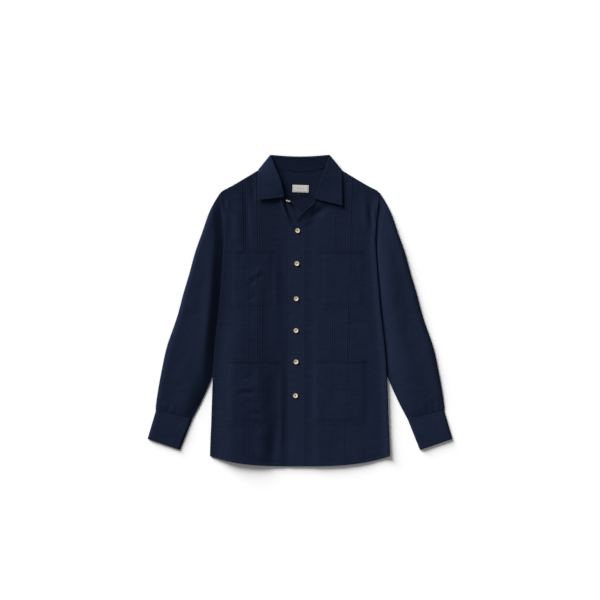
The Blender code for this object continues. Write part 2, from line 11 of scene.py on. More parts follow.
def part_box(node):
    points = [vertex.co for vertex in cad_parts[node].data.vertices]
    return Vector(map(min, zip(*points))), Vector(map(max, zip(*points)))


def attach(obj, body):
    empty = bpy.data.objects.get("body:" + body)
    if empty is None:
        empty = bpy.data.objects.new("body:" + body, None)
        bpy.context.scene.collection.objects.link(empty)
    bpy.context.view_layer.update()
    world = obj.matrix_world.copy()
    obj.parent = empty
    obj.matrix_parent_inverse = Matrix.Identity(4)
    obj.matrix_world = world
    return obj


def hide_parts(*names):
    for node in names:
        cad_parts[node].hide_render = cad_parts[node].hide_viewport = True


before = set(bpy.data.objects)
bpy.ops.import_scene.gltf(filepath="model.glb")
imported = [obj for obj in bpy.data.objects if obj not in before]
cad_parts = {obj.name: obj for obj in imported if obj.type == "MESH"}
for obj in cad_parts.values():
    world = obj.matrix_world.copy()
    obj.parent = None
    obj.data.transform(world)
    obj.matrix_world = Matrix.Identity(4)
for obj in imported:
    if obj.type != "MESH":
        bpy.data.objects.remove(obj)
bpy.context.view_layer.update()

# All tables are in millimetres, in the frame's own axes, and are scaled by MM once.
MM = 0.001
CLOTH = 0.8                 # thickness of the linen
LAYER = 1.25                # one layer of cloth on another, with the air between them
COLLAR_CLOTH = 1.1          # the collar is interlined
BODY = "root"

# Side seam and armhole: y, x
SIDE_SEAM = np.array((
    (-378.2, 234.0), (-284.7, 230.6), (-171.1, 226.6), (-92.3, 221.0), (1.3, 210.6),
    (81.9, 203.6), (157.3, 198.4), (196.3, 197.6), (248.3, 201.5), (304.0, 208.5),
))
HEM_Y, HEM_RISE, HEM_CORNER_X = -404.7, 26.5, 234.0     # the hem rises to its corners
NECK_POINT, SHOULDER_TIP, SHOULDER_ROUND = (88.0, 377.0), (208.5, 304.0), 2.5
BACK_NECK_Y = 360.0
ARMHOLE_Y, CHEST_Y = 200.0, 156.0       # where the side ends, and the chest pockets' top

# Front rows, from the hem to the shoulder:
# free edge x, y, z | band seam x, y, z | side y. Heights are the cloth's upper side.
LEFT_ROWS = np.array((
    (-30.5, -404.7, 4.3, 13.0, -404.7, 4.2, -378.2),
    (-30.3, -298.0, 4.3, 13.0, -298.0, 4.2, -298.0),
    (-30.0, -128.7, 4.3, 13.0, -128.7, 4.2, -128.7),
    (-29.5, 1.3, 4.3, 13.0, 1.3, 4.2, 1.3),
    (-29.0, 156.0, 4.3, 13.0, 156.0, 4.2, 156.0),
    (-27.0, 200.0, 4.5, 13.5, 203.0, 4.3, 190.0),
    (-13.5, 226.0, 6.2, 18.0, 228.0, 4.8, 215.0),
    (-4.0, 243.0, 8.2, 27.0, 246.0, 5.4, 234.0),
    (12.0, 259.0, 9.4, 39.0, 262.0, 5.8, 250.0),
    (28.0, 273.0, 9.2, 50.0, 278.0, 5.8, 263.0),
    (37.5, 288.0, 7.8, 57.0, 296.0, 5.6, 276.0),
    (47.0, 308.0, 6.0, 72.0, 318.0, 5.6, 287.0),
    (58.0, 335.0, 5.6, 83.0, 348.0, 5.2, 296.0),
    (70.0, 365.0, 5.0, 88.0, 377.0, 4.4, 304.0),
))
RIGHT_ROWS = np.array((
    (-8.0, -404.7, 2.7, 31.0, -404.7, 2.9, -378.2),
    (-8.0, -298.0, 2.7, 31.0, -298.0, 2.9, -298.0),
    (-8.0, -128.7, 2.7, 31.0, -128.7, 2.9, -128.7),
    (-8.0, 1.3, 2.7, 31.0, 1.3, 2.9, 1.3),
    (-8.0, 156.0, 2.7, 31.0, 156.0, 2.9, 156.0),
    (-8.5, 200.0, 2.7, 31.0, 200.0, 3.2, 190.0),
    (-8.5, 228.0, 2.7, 30.0, 226.0, 3.9, 215.0),
    (-7.5, 250.0, 2.9, 29.5, 248.0, 5.0, 234.0),
    (1.0, 261.0, 3.4, 32.0, 262.0, 5.6, 250.0),
    (12.0, 274.0, 4.0, 37.0, 276.0, 6.0, 263.0),
    (20.5, 285.5, 4.6, 48.0, 296.0, 6.2, 276.0),
    (45.0, 308.0, 5.4, 70.0, 318.0, 5.8, 287.0),
    (58.0, 335.0, 5.4, 83.0, 348.0, 5.2, 296.0),
    (70.0, 365.0, 5.0, 88.0, 377.0, 4.4, 304.0),
))
# Rows of the grids between one row of the tables and the next
BAND_STEPS = (30, 46, 36, 44, 13, 9, 8, 8, 8, 8)
PANEL_STEPS = (34, 54, 42, 50, 14, 8, 6, 5, 5, 5, 7, 9, 9)

# Lengthwise tucks of each front: x at the hem, at the chest pocket's top and at the shoulder,
# then the place of each tuck beside that line and how strongly it stands
LEFT_TUCKS = (
    (75.5, 89.0, 97.0, ((-5.0, 0.5), (0.0, 0.9), (5.0, 0.5))),
    (113.5, 129.5, 136.0, ((-5.0, 0.4), (0.0, 1.3), (5.0, 0.5))),
)
RIGHT_TUCKS = (
    (98.6, 98.6, 102.0, ((0.0, 0.8), (6.2, 0.8), (12.4, 0.9))),
    (137.0, 138.0, 141.0, ((-3.0, 0.7), (3.0, 0.9), (9.0, 1.0))),
)
# A tuck across its line: height of its ridge, width of its rise and of its fall, depth of
# the groove behind it and width over which the groove ends
TUCK_RIDGE, TUCK_RISE, TUCK_FALL, TUCK_GROOVE, TUCK_EASE = 0.5, 3.4, 0.8, 0.4, 1.8
TUCK_MARGIN = 4.0                           # width of the closer columns beside a group
TUCK_AT_HEM, TUCK_ON_POCKET = 0.5, 0.55     # how much of a tuck's relief is left there
TUCK_FADE_Y, TUCK_FADE, TUCK_TOP_Y = -340.0, 80.0, 350.0

# How each front swells: height at the chest, more of it below the waist, the width of its
# inner and outer slopes, and the roll along its side
LEFT_SHAPE = (1.8, 0.8, 40.0, 130.0, 4.2)
RIGHT_SHAPE = (2.6, 6.0, 125.0, 60.0, 0.4)
WAIST_Y, WAIST_FADE = 60.0, 160.0       # where the lower part starts to swell, and how softly
# Height of a front, how much higher it is at the shoulder, from where and how softly, and
# the height and the rounding of its outer edge
PANEL_HEIGHT, SHOULDER_LIFT, SHOULDER_Y, SHOULDER_FADE = 3.1, 1.2, 280.0, 50.0
PANEL_EDGE, EDGE_ROUND = 1.9, 2.2
SEAM_BLEND = 30.0           # width over which a front settles to its band's height
RIM = 6.0                   # width of the closer columns along a front's outer edge
# Columns of the grids: to the first group of tucks, across it, to the next, and so on
PANEL_COLUMNS = (16, 30, 8, 30, 20, 11)
POCKET_COLUMNS = (14, 30, 8, 30, 10, 5)
POCKET_ROWS, BAND_COLUMNS = 84, 30
HEM_BILLOW, HEM_FADE, HEM_WAVE = 1.0, 70.0, 31.0    # how the hem stands off the surface

# Pockets: inner x, outer x at the bottom, outer x at the top, bottom y, top y
POCKETS = {
    "left_chest_pocket": (55.9, 166.4, 166.4, 1.3, 156.0),
    "left_lower_pocket": (29.9, 172.9, 172.9, -298.0, -128.7),
    "right_chest_pocket": (-70.0, -179.0, -179.0, 1.3, 156.0),
    "right_lower_pocket": (-53.0, -190.5, -188.5, -298.0, -128.7),
}
POCKET_HEM = 10.0           # the turned top edge of a pocket
POCKET_SIDE, POCKET_FOOT = 13.0, 22.0   # width over which it rises from its sewn edges

# The back: height and place of its rise behind the neck, and half its rows
BACK_LIFT, BACK_LIFT_Y, BACK_LIFT_WIDTH = 1.9, 284.0, 20.0
BACK_COLUMNS, BACK_ROWS = 140, 60

# Sleeve rings: outer edge x, y | inner edge x, y | height
SLEEVE_RINGS = np.array((
    (210.0, 304.4, 204.0, 78.0, 4.6),
    (224.4, 280.6, 205.0, 66.0, 7.5),
    (237.9, 251.7, 206.0, 48.0, 10.0),
    (254.0, 204.0, 209.0, 20.0, 12.0),
    (272.0, 153.0, 212.0, -14.0, 12.6),
    (288.0, 95.0, 217.0, -56.0, 12.6),
    (303.0, 45.0, 221.0, -98.0, 12.6),
    (320.5, -20.0, 225.0, -138.0, 12.4),
    (345.5, -92.3, 229.0, -174.0, 12.0),
    (358.5, -150.0, 241.0, -205.0, 11.0),
    (368.6, -204.6, 258.2, -241.8, 9.4),
    (374.6, -246.0, 273.5, -271.0, 7.0),
    (375.0, -262.4, 280.3, -283.6, 4.2),
))
CUFF_RINGS = np.array((
    (374.8, -260.9, 279.6, -282.0, 4.9), (385.0, -295.5, 295.0, -321.0, 5.6),
    (396.2, -333.6, 311.7, -362.4, 5.2),
))
CUFF_LENGTH = 78.0
# Rings beside the body, rings over which the armhole's bow dies out, and the air there
SEAM_RINGS, BOW_RINGS, SLEEVE_AIR = 8.0, 3.0, -0.2
# Share of the width over which a tube rises from its inner edge
LEFT_RAMP, RIGHT_RAMP, CUFF_RAMP, SLEEVE_END_RAMP = 0.42, 0.36, 0.08, 0.34
# The valley between the right sleeve and the body: width of its bank, and how much higher
# than the rest of the sleeve the bank's top is
RIGHT_VALLEY = 28.0, 0.2
TUBE_TOP, TUBE_LOW = 53, 25             # points over a tube's upper side and back below it
SLEEVE_ROWS, CUFF_ROWS = 200, 54
LOWER_SIDE = 400.0          # how far along the flat cut a tube's lower side lies

# Collar sections: fold x, y, z | turn x, y, z | edge x, y, z | stand seam x, y, z | drop
COLLAR_LEFT = (
    (36.4, 289.0, 10.5, 42.0, 288.4, 10.8, 109.7, 272.5, 10.6, 45.0, 293.2, 6.8, 1.0),
    (45.0, 318.5, 12.2, 50.5, 317.5, 12.4, 109.2, 303.0, 10.2, 63.5, 308.0, 6.8, 1.2),
    (53.8, 341.0, 13.2, 59.3, 340.0, 13.4, 108.8, 332.0, 10.2, 75.6, 331.0, 6.6, 1.2),
    (65.0, 370.0, 12.5, 70.0, 368.5, 12.6, 108.4, 354.0, 9.2, 83.6, 355.0, 6.2, 1.1),
)
COLLAR_RIGHT = (
    (40.8, 294.0, 12.0, 46.0, 293.2, 12.4, 110.2, 286.6, 11.4, 48.5, 299.5, 6.8, 1.0),
    (46.0, 320.0, 14.4, 51.5, 319.0, 14.6, 109.6, 312.0, 11.2, 62.5, 310.5, 6.8, 1.2),
    (52.0, 342.0, 15.4, 57.5, 341.0, 15.4, 109.0, 335.0, 11.0, 75.0, 332.0, 6.6, 1.2),
    (63.5, 370.0, 13.6, 68.5, 368.5, 13.6, 108.4, 354.0, 9.4, 83.6, 355.0, 6.2, 1.1),
)
COLLAR_WRAP = (
    (73.5, 396.0, 10.0, 76.5, 394.5, 10.0, 107.6, 360.5, 7.2, 87.0, 376.0, 4.2, 1.0),
    (75.8, 402.8, 8.0, 78.0, 402.6, 7.0, 107.6, 366.8, 3.6, 85.0, 380.0, 3.3, 1.0),
    (69.0, 400.2, 6.6, 72.0, 404.2, 3.6, 104.5, 362.0, 0.0, 78.0, 377.2, 2.6, 5.0),
    (40.0, 397.6, 6.4, 41.0, 401.6, 3.8, 70.0, 333.0, 0.0, 43.0, 366.2, 2.45, 9.0),
)
COLLAR_MIDDLE = (0.0, 396.2, 6.2, 0.0, 400.2, 3.8, 0.0, 330.0, 0.0, 0.0, 362.0, 2.4, 9.0)
COLLAR_ROWS, LEAF_COLUMNS, STAND_COLUMNS, FOLD_COLUMNS = 300, 44, 14, 8
STAND_INSET, STAND_DROP = 1.6, 1.45     # the stand's top edge, inside and below the fold

# Where the topstitching runs, from each piece's own edge
HEM_STITCH, BAND_STITCH, POCKET_STITCH, CUFF_STITCH = 8.0, 4.5, 1.8, 4.0
LEAF_STITCH, STAND_STITCH, NECK_STITCH, SHOULDER_STITCH = 7.0, 2.5, 11.0, 3.0
STITCH_DIP = 0.25           # depth of the groove that stitches pull into the cloth

BUTTON_RADIUS, BUTTON_THICKNESS = 6.0, 2.0
DRILL_RADIUS, DRILL_REACH = 0.72, 1.4   # the four holes, and how far they are from the middle
# The rim and the dish, as insets of the upper face: width, depth
BUTTON_INSETS = ((0.35, 0.0), (0.75, 0.0), (0.75, -0.42), (1.3, -0.12))
BUTTON_TURNS = (20.0, -14.0, 33.0, 8.0, -25.0, 41.0, 3.0)
TOP_BUTTON_TILT, TOP_BUTTON_AXIS, TOP_BUTTON_RISE = 72.0, (0.94, -0.34, 0.0), 2.8
# A buttonhole: its two lines of stitches from its middle, half its length, and where the
# open one lies in the buttonhole band's grid
HOLE_SIDE, HOLE_REACH = 0.75, 7.6
OPEN_HOLE_ROWS, OPEN_HOLE_COLUMN = (-13, -9), 16
# Sizes of a stitch, and of one in a buttonhole and along the label: along, across, high
STITCH, HOLE_STITCH, LABEL_THREAD = (2.4, 0.5, 0.34), (0.62, 1.25, 0.3), (1.6, 0.4, 0.3)
NECK_SEAM_HALF = 70.0       # half the length of the neck stitches that show

LABEL_SIZE, LABEL_CENTRE, LABEL_TURN = (42.0, 19.0), (1.5, 316.4), -2.0
LABEL_HEIGHT, LABEL_CLOTH, LABEL_STITCH = 3.55, 0.45, 1.0
# The label's woven frame, in from its edge, and the pitch and half size of its diamonds
LABEL_FRAME, LABEL_LINE, DIAMOND_HALF_PITCH, DIAMOND_SIZE, DIAMOND_CORE = 3.0, 0.28, 3.5, 2.3, 1.1
LABEL_ROW_END = 10.4

# Colours, as linear shares of red, green and blue
NAVY = (0.0110, 0.0170, 0.0375)
LABEL_GREY, LABEL_INK = (0.50, 0.49, 0.45), (0.09, 0.095, 0.11)
SHELL_DEEP, SHELL_PALE, SHELL_LINE = (0.42, 0.33, 0.20), (0.74, 0.66, 0.50), (0.50, 0.38, 0.22)
# Painted light and shade, as shares: each part's navy darker or paler for how the light falls on it
LINEN_PAINTED_LIGHT_AND_SHADE = {"left": 0.92, "right": 0.84, "placket": 1.02, "left_sleeve": 1.03,
               "right_sleeve": 0.88, "left_cuff": 1.01, "right_cuff": 0.9, "collar": 0.93,
               "inside": 0.73}
LINEN_GLOSS, THREAD_GLOSS, THREAD_TINT = 0.02, 0.04, 0.9
LINEN_THREADS, LABEL_THREADS = 1300.0, 2600.0       # to a metre
WEAR_REACH = 0.0022                                 # metres from an edge

# Light: turn from +X, height above the floor and apparent size in degrees, and strength
KEY_TURN, KEY_RISE, KEY_SPREAD, KEY_STRENGTH = 130.0, 19.0, 36.0, 8.0
SKY_STRENGTH, FLOOR_WHITE, FLOOR_SIZE, FLOOR_Z = 0.25, 0.95, 30.0, -0.0004
LENS, FIELD, CAMERA_Y = 85.0, 1.56, 0.0273          # millimetres; metres across; metres

# Linen's fine relief after washing: height, width of its features, squeeze along y, seed
CRUMPLE = ((0.40, 38.0, 0.7, 1.7), (0.16, 13.0, 1.0, 5.2), (0.05, 5.0, 1.5, 9.1))

# Soft folds: name, path, half width, height (below zero is a trough)
NECK_FOLDS = (
    ("right roll crease", ((-42.0, 294.0), (-37.4, 274.0), (-29.0, 254.0), (-18.7, 237.0),
                           (-11.0, 227.0)), 3.0, -6.0),
    ("right roll rim", ((-49.0, 292.0), (-44.5, 272.0), (-36.5, 252.0), (-26.0, 234.0)), 4.0, 4.0),
    ("right band dip", ((-24.0, 280.0), (-14.0, 267.0), (-3.0, 254.0)), 2.6, -1.9),
    ("left front hollow", ((24.0, 238.0), (42.0, 254.0), (64.0, 264.0)), 8.5, -3.6),
    ("left front hollow low", ((12.0, 214.0), (26.0, 224.0), (44.0, 232.0)), 8.0, -1.4),
)
# Inside the back neck, on the fronts and on the sleeves
INNER_FOLDS = (
    ("below label a", ((2.0, 300.0), (10.0, 294.0), (18.0, 297.0)), 2.4, -0.8),
    ("below label b", ((-14.0, 292.0), (-2.0, 284.0), (8.0, 282.0)), 3.0, -0.8),
    ("beside label", ((34.0, 338.0), (30.0, 312.0), (18.0, 286.0)), 6.0, -0.8),
    ("neck drag", ((-30.0, 344.0), (-26.0, 326.0), (-22.0, 306.0)), 5.0, 0.5),
)
BODY_FOLDS = (
    ("placket ridge low", ((-49.0, -400.0), (-48.0, -250.0), (-47.0, -110.0)), 7.0, 2.4),
    ("placket valley low", ((-35.0, -402.0), (-34.0, -250.0), (-34.0, -90.0)), 5.0, -1.0),
    ("chest trough", ((-146.0, 320.0), (-140.0, 262.0), (-136.0, 158.0)), 9.0, -2.4),
    ("chest rise", ((-166.0, 262.0), (-160.0, 160.0)), 14.0, 2.4),
    ("right armhole crease", ((-203.0, 290.0), (-194.0, 270.0), (-180.0, 246.0)), 4.5, -2.4),
    ("right armhole rise", ((-186.0, 292.0), (-190.0, 240.0), (-190.0, 190.0)), 8.0, 1.6),
    ("left armhole crease", ((180.0, 278.0), (184.0, 242.0), (193.0, 205.0)), 4.5, -2.2),
    ("left armhole edge", ((199.0, 284.0), (199.0, 250.0), (197.0, 215.0)), 3.6, -1.6),
    ("left armhole rise", ((166.0, 296.0), (171.0, 240.0), (180.0, 185.0)), 9.0, 1.8),
    ("right hem trough", ((-71.0, -404.0), (-70.0, -360.0), (-68.0, -290.0)), 11.0, -2.6),
    ("right hem rise", ((-98.0, -404.0), (-98.0, -330.0), (-96.0, -290.0)), 17.0, 2.6),
    ("waist fold", ((-54.0, 146.0), (-43.0, 105.0), (-36.0, 52.0)), 6.0, -1.7),
    ("waist ridge", ((-66.0, 130.0), (-63.0, 60.0), (-60.0, 0.0)), 6.0, 1.3),
    ("waist hollow", ((-84.0, 110.0), (-86.0, 20.0), (-84.0, -110.0)), 13.0, -1.2),
    ("pocket wrinkle upper", ((-136.0, 64.0), (-118.0, 78.0), (-96.0, 92.0)), 5.6, -0.75),
    ("pocket rise upper", ((-132.0, 84.0), (-112.0, 98.0), (-92.0, 108.0)), 6.0, 0.7),
    ("pocket wrinkle lower", ((-139.0, 26.0), (-126.0, 31.0), (-112.0, 40.0)), 4.4, -0.6),
    ("pocket wrinkle cross", ((-104.0, 120.0), (-112.0, 90.0), (-116.0, 64.0)), 4.0, 0.5),
    ("lower pocket crease", ((-172.0, -222.0), (-150.0, -216.0), (-128.0, -211.0),
                             (-104.0, -214.0)), 6.0, -0.7),
    ("lower pocket crease up", ((-160.0, -182.0), (-142.0, -176.0), (-118.0, -168.0)), 6.0, -0.6),
    ("lower pocket crease low", ((-152.0, -246.0), (-132.0, -236.0), (-112.0, -238.0)), 6.0, -0.55),
    ("lower pocket nick", ((-166.0, -204.0), (-154.0, -212.0), (-146.0, -226.0)), 3.0, -0.6),
    ("lower pocket nick up", ((-148.0, -192.0), (-138.0, -204.0), (-120.0, -206.0)), 3.0, 0.5),
    ("lower pocket nick low", ((-138.0, -258.0), (-124.0, -268.0), (-100.0, -270.0)), 3.6, -0.5),
    ("lower pocket rise", ((-170.0, -206.0), (-140.0, -199.0), (-112.0, -196.0)), 7.0, 0.8),
    ("lower pocket drag", ((-70.0, -150.0), (-70.0, -200.0), (-70.0, -270.0)), 13.0, -1.7),
    ("lower pocket swell", ((-104.0, -150.0), (-106.0, -210.0), (-104.0, -280.0)), 18.0, 1.6),
    ("left hem crease", ((94.0, -330.0), (110.0, -340.0), (127.0, -355.0)), 3.6, -0.8),
    ("left hem rise", ((150.0, -400.0), (158.0, -330.0)), 16.0, 0.8),
    ("left waist drag", ((120.0, -40.0), (150.0, -28.0), (176.0, -34.0)), 5.0, -0.5),
    ("left chest drag", ((64.0, 60.0), (72.0, 30.0), (90.0, 12.0)), 4.0, -0.4),
    ("left pocket drag", ((140.0, 118.0), (150.0, 90.0), (156.0, 60.0)), 5.0, -0.45),
    ("collar hollow right", ((-128.0, 350.0), (-121.0, 310.0), (-122.0, 280.0)), 6.0, -1.2),
    ("collar hollow left", ((122.0, 352.0), (118.0, 320.0), (117.0, 285.0)), 6.0, -0.9),
)
SLEEVE_FOLDS = (
    ("left cuff gather a", ((345.0, -233.0), (349.0, -250.0), (353.0, -263.0)), 3.0, -1.2),
    ("left cuff gather b", ((330.0, -244.0), (333.0, -258.0), (336.0, -268.0)), 2.8, -0.9),
    ("left cuff gather c", ((361.0, -226.0), (364.0, -245.0), (366.0, -260.0)), 2.8, -0.9),
    ("right cuff gather a", ((-338.0, -236.0), (-341.0, -254.0), (-344.0, -266.0)), 3.0, -0.9),
    ("right cuff gather b", ((-318.0, -248.0), (-322.0, -262.0), (-325.0, -270.0)), 2.8, -0.8),
    ("left elbow fold", ((250.0, 30.0), (272.0, -6.0), (300.0, -30.0)), 12.0, -0.9),
    ("left upper fold", ((228.0, 190.0), (238.0, 120.0), (244.0, 60.0)), 14.0, 0.9),
    ("left lower fold", ((262.0, -90.0), (290.0, -150.0), (320.0, -196.0)), 14.0, 0.8),
    ("right elbow fold", ((-262.0, 6.0), (-285.0, -20.0), (-312.0, -32.0)), 13.0, -0.8),
    ("right upper fold", ((-232.0, 196.0), (-246.0, 120.0), (-262.0, 40.0)), 14.0, 0.7),
    ("right lower fold", ((-276.0, -110.0), (-306.0, -160.0), (-332.0, -200.0)), 15.0, 0.7),
)


def smooth(value):
    """Ease from 0 to 1 as value goes from 0 to 1."""
    value = np.clip(value, 0.0, 1.0)
    return value * value * (3.0 - 2.0 * value)


def mix(first, second, share):
    """The value a share of the way from first to second."""
    return first + (second - first) * share


def bump(distance, half_width):
    """A soft hump of height 1, half_width wide on each side."""
    return np.exp(-(distance / half_width) ** 2)


def curve_at(table, t):
    """Rows of numbers on a smooth curve through the table's rows, one unit of t apart."""
    table = np.asarray(table, float)
    t = np.atleast_1d(np.asarray(t, float))
    last = len(table) - 1
    index = np.clip(t.astype(int), 0, last - 1)
    share = (t - index)[:, None]
    a = table[np.maximum(index - 1, 0)]
    b = table[index]
    c = table[index + 1]
    d = table[np.minimum(index + 2, last)]
    bend = 2.0 * a - 5.0 * b + 4.0 * c - d
    twist = 3.0 * (b - c) + d - a
    return b + 0.5 * share * (c - a + share * (bend + share * twist))


def through(pairs):
    """Smooth function of the first number of each pair, as a fine table for np.interp."""
    fine = curve_at(pairs, np.linspace(0.0, len(pairs) - 1, 40 * len(pairs)))
    return fine[:, 0], fine[:, 1]


SIDE_CURVE = through(SIDE_SEAM)


def side_x(y):
    """Half width of the body at y."""
    return np.interp(y, *SIDE_CURVE)


def hem_y(x):
    """The curved hem."""
    return HEM_Y + HEM_RISE * (np.abs(x) / HEM_CORNER_X) ** 3


def shoulder_y(x):
    """The shoulder seam, rounded off towards its tip."""
    share = (np.abs(x) - NECK_POINT[0]) / (SHOULDER_TIP[0] - NECK_POINT[0])
    rounding = SHOULDER_ROUND * np.sin(np.pi * np.clip(share, 0.0, 1.0) ** 8)
    return mix(NECK_POINT[1], SHOULDER_TIP[1], share) + rounding


def back_top(y):
    """Upper side of the back: flat on the surface, raised behind the neck."""
    return CLOTH + BACK_LIFT * smooth((y - BACK_LIFT_Y) / BACK_LIFT_WIDTH)


def stitch_dip(distance, width=1.0, depth=STITCH_DIP):
    """The groove along a row of stitches, at a distance from it."""
    return -depth * bump(distance, width)


def hem_relief(x, from_hem):
    """The hem stands a little off the surface and dips along its stitches."""
    wave = 0.8 + 0.2 * np.sin(x / HEM_WAVE)
    return (HEM_BILLOW * (1.0 - smooth(from_hem / HEM_FADE)) * wave
            + stitch_dip(from_hem - HEM_STITCH, depth=0.22))


def soft_fold(x, y, path, half_width, height):
    """A trough or ridge along a path, fading at its ends, wider towards its last point."""
    best = np.full(np.shape(x), 1e9)
    along = np.zeros(np.shape(x))
    done = 0.0
    for (x0, y0), (x1, y1) in zip(path, path[1:]):
        length = math.hypot(x1 - x0, y1 - y0)
        share = ((x - x0) * (x1 - x0) + (y - y0) * (y1 - y0)) / length ** 2
        share = np.clip(share, 0.0, 1.0)
        distance = np.hypot(x - mix(x0, x1, share), y - mix(y0, y1, share))
        nearer = distance < best
        best = np.where(nearer, distance, best)
        along = np.where(nearer, done + share * length, along)
        done += length
    fade = smooth(along / done * 3.0) * smooth((1.0 - along / done) * 3.0)
    width = half_width * (0.8 + 0.5 * along / done)
    return height * (0.25 + 0.75 * fade) * bump(best, width)


def folds_height(x, y, folds):
    """All the folds of a table together."""
    return sum(soft_fold(x, y, path, half_width, height)
               for _, path, half_width, height in folds)


def ripple(x, y, scale, seed):
    """Smooth irregular relief from -1 to 1 with features about scale millimetres wide."""
    places = zip(np.ravel(x) / scale, np.ravel(y) / scale)
    flat = [noise.noise(Vector((px, py, seed))) for px, py in places]
    return np.array(flat).reshape(np.shape(x))


def crumple(x, y):
    """Fine uneven relief that linen keeps after washing."""
    return sum(height * ripple(x, y * squeeze, width, seed)
               for height, width, squeeze, seed in CRUMPLE)


def tuck_profile(distance, strength):
    """One fine tuck across its line: a slow rise, a steep fall and a groove."""
    ridge = TUCK_RIDGE * smooth(1.0 + distance / TUCK_RISE) * (distance < 0.0)
    fall = mix(TUCK_RIDGE, -TUCK_GROOVE, smooth(distance / TUCK_FALL))
    ease = -TUCK_GROOVE * (1.0 - smooth((distance - TUCK_FALL) / TUCK_EASE))
    after = np.where(distance < TUCK_FALL, fall, ease) * (distance >= 0.0)
    return strength * (ridge + after)


class Front:
    """One front: where its seams and tucks run and how high its upper side is."""

    def __init__(self, rows, tucks, sign, shape):
        self.rows = rows
        self.tucks = tucks
        self.sign = sign
        self.shape = shape
        self.seam = through(rows[:, (4, 3)])
        self.seam_z = through(rows[:, (4, 5)])

    def line_x(self, tuck, y):
        """Distance of a tuck line from the centre, at the height y."""
        return np.interp(y, (HEM_Y, CHEST_Y, TUCK_TOP_Y), tuck[:3])

    def top(self, x, y, tuck_share=1.0):
        """Upper side of the panel at x from the centre (always positive) and y."""
        seam_x = np.interp(y, *self.seam)
        seam_z = np.interp(y, *self.seam_z)
        world_x = self.sign * x
        from_seam, from_side = x - seam_x, side_x(y) - x
        from_shoulder = 1.3 * np.maximum(shoulder_y(x) - y, 0.0)
        from_hem = y - hem_y(x)
        loft, low_loft, inner_slope, outer_slope, side_roll = self.shape
        loft = loft + low_loft * smooth((WAIST_Y - y) / WAIST_FADE)
        loft = loft * smooth(from_seam / inner_slope) * smooth(from_side / outer_slope)
        body = PANEL_HEIGHT + loft + SHOULDER_LIFT * smooth((y - SHOULDER_Y) / SHOULDER_FADE)
        near_seam = 1.0 - smooth(from_seam / SEAM_BLEND)
        z = mix(body, seam_z, near_seam)
        inside = tuck_share * smooth(from_side / 7.0)
        inside = inside * mix(TUCK_AT_HEM, 1.0, smooth((y - TUCK_FADE_Y) / TUCK_FADE))
        for tuck in self.tucks:
            line = self.line_x(tuck, y)
            for offset, strength in tuck[3]:
                centre = self.sign * (line + offset)
                z += tuck_profile(world_x - centre, strength) * inside
        z += folds_height(world_x, y, BODY_FOLDS) * (0.4 + 0.6 * (1.0 - near_seam))
        z += folds_height(world_x, y, NECK_FOLDS)
        z += crumple(world_x, y) * smooth(from_seam / 8.0)
        z += hem_relief(x, from_hem) + 0.25 * smooth((HEM_STITCH - from_hem) / 3.0)
        z += side_roll * smooth((from_shoulder - 12.0) / 40.0) * bump(from_side - 3.0, 9.0)
        z = np.maximum(z, back_top(y) + 1.1 * CLOTH)
        edge = np.clip(np.minimum(from_side, from_shoulder) / EDGE_ROUND, 0.0, 1.0)
        settled = np.clip(1.0 - (1.0 - edge) ** 2, 0.0, 1.0)
        return mix(PANEL_EDGE, z, np.sqrt(settled))

    def columns(self, inner, outer, y, counts):
        """x of each column between inner and outer: closer together across the tucks."""
        anchors = [inner]
        for tuck in self.tucks:
            line = self.line_x(tuck, y)
            anchors += [line + tuck[3][0][0] - TUCK_MARGIN, line + tuck[3][-1][0] + TUCK_MARGIN]
        anchors += [outer - RIM, outer]
        parts = [np.linspace(a, b, n, endpoint=False)
                 for a, b, n in zip(anchors, anchors[1:], counts)]
        return np.append(np.concatenate(parts), outer)

    def hem_share(self, t, x, y):
        """y of a row: the lowest rows follow the curved hem."""
        if t >= 1.0:
            return y
        return mix(hem_y(x), self.rows[1][4], t)

    def fine_rows(self, counts):
        """The table's rows with count steps from each row to the next, and their places."""
        steps = [index + part / count
                 for index, count in enumerate(counts) for part in range(count)]
        steps.append(float(len(counts)))
        return zip(steps, curve_at(self.rows, steps))

    def panel(self):
        """Upper side of the whole panel as rows of points."""
        lines = []
        for t, row in self.fine_rows(PANEL_STEPS):
            seam_x, seam_y, side_y = row[3], row[4], row[6]
            outer_x = side_x(side_y)
            x = self.columns(seam_x, outer_x, 0.5 * (seam_y + side_y), PANEL_COLUMNS)
            y = mix(seam_y, side_y, (x - seam_x) / (outer_x - seam_x))
            y = self.hem_share(t, x, y)
            y = mix(y, shoulder_y(x), smooth(t - (len(PANEL_STEPS) - 1)))
            lines.append(np.stack((self.sign * x, y, self.top(x, y)), axis=-1))
        return np.array(lines)

    def band(self, lip):
        """Upper side of the band along the free edge, whose lip rolls up at the opening."""
        share = np.linspace(0.0, 1.0, BAND_COLUMNS + 1)
        points = []
        for t, row in self.fine_rows(BAND_STEPS):
            x = mix(row[0], row[3], share)
            y = self.hem_share(t, x, mix(row[1], row[4], share))
            z = mix(row[2], row[5], smooth(share))
            width = math.hypot(row[3] - row[0], row[4] - row[1])
            across = share * width
            opened = smooth((t - 5.0) / 2.0)
            z += lip * opened * (bump(across - 3.0, 4.0) - 0.5 * bump(across - 14.0, 6.0))
            z += stitch_dip(across - BAND_STITCH, 0.9)
            z += stitch_dip(width - across - BAND_STITCH, 0.9)
            z -= 0.12 * (1.0 - smooth(across / 1.4))
            z -= 0.55 * (1.0 - smooth((width - across) / 1.6)) * (1.0 - opened)
            z += folds_height(self.sign * x, y, NECK_FOLDS)
            z += 0.5 * crumple(self.sign * x, y)
            z += hem_relief(x, y - hem_y(x))
            z = np.maximum(z, back_top(y) + 1.1 * CLOTH)
            points.append(np.stack((self.sign * x, y, z), axis=-1))
        return np.array(points)

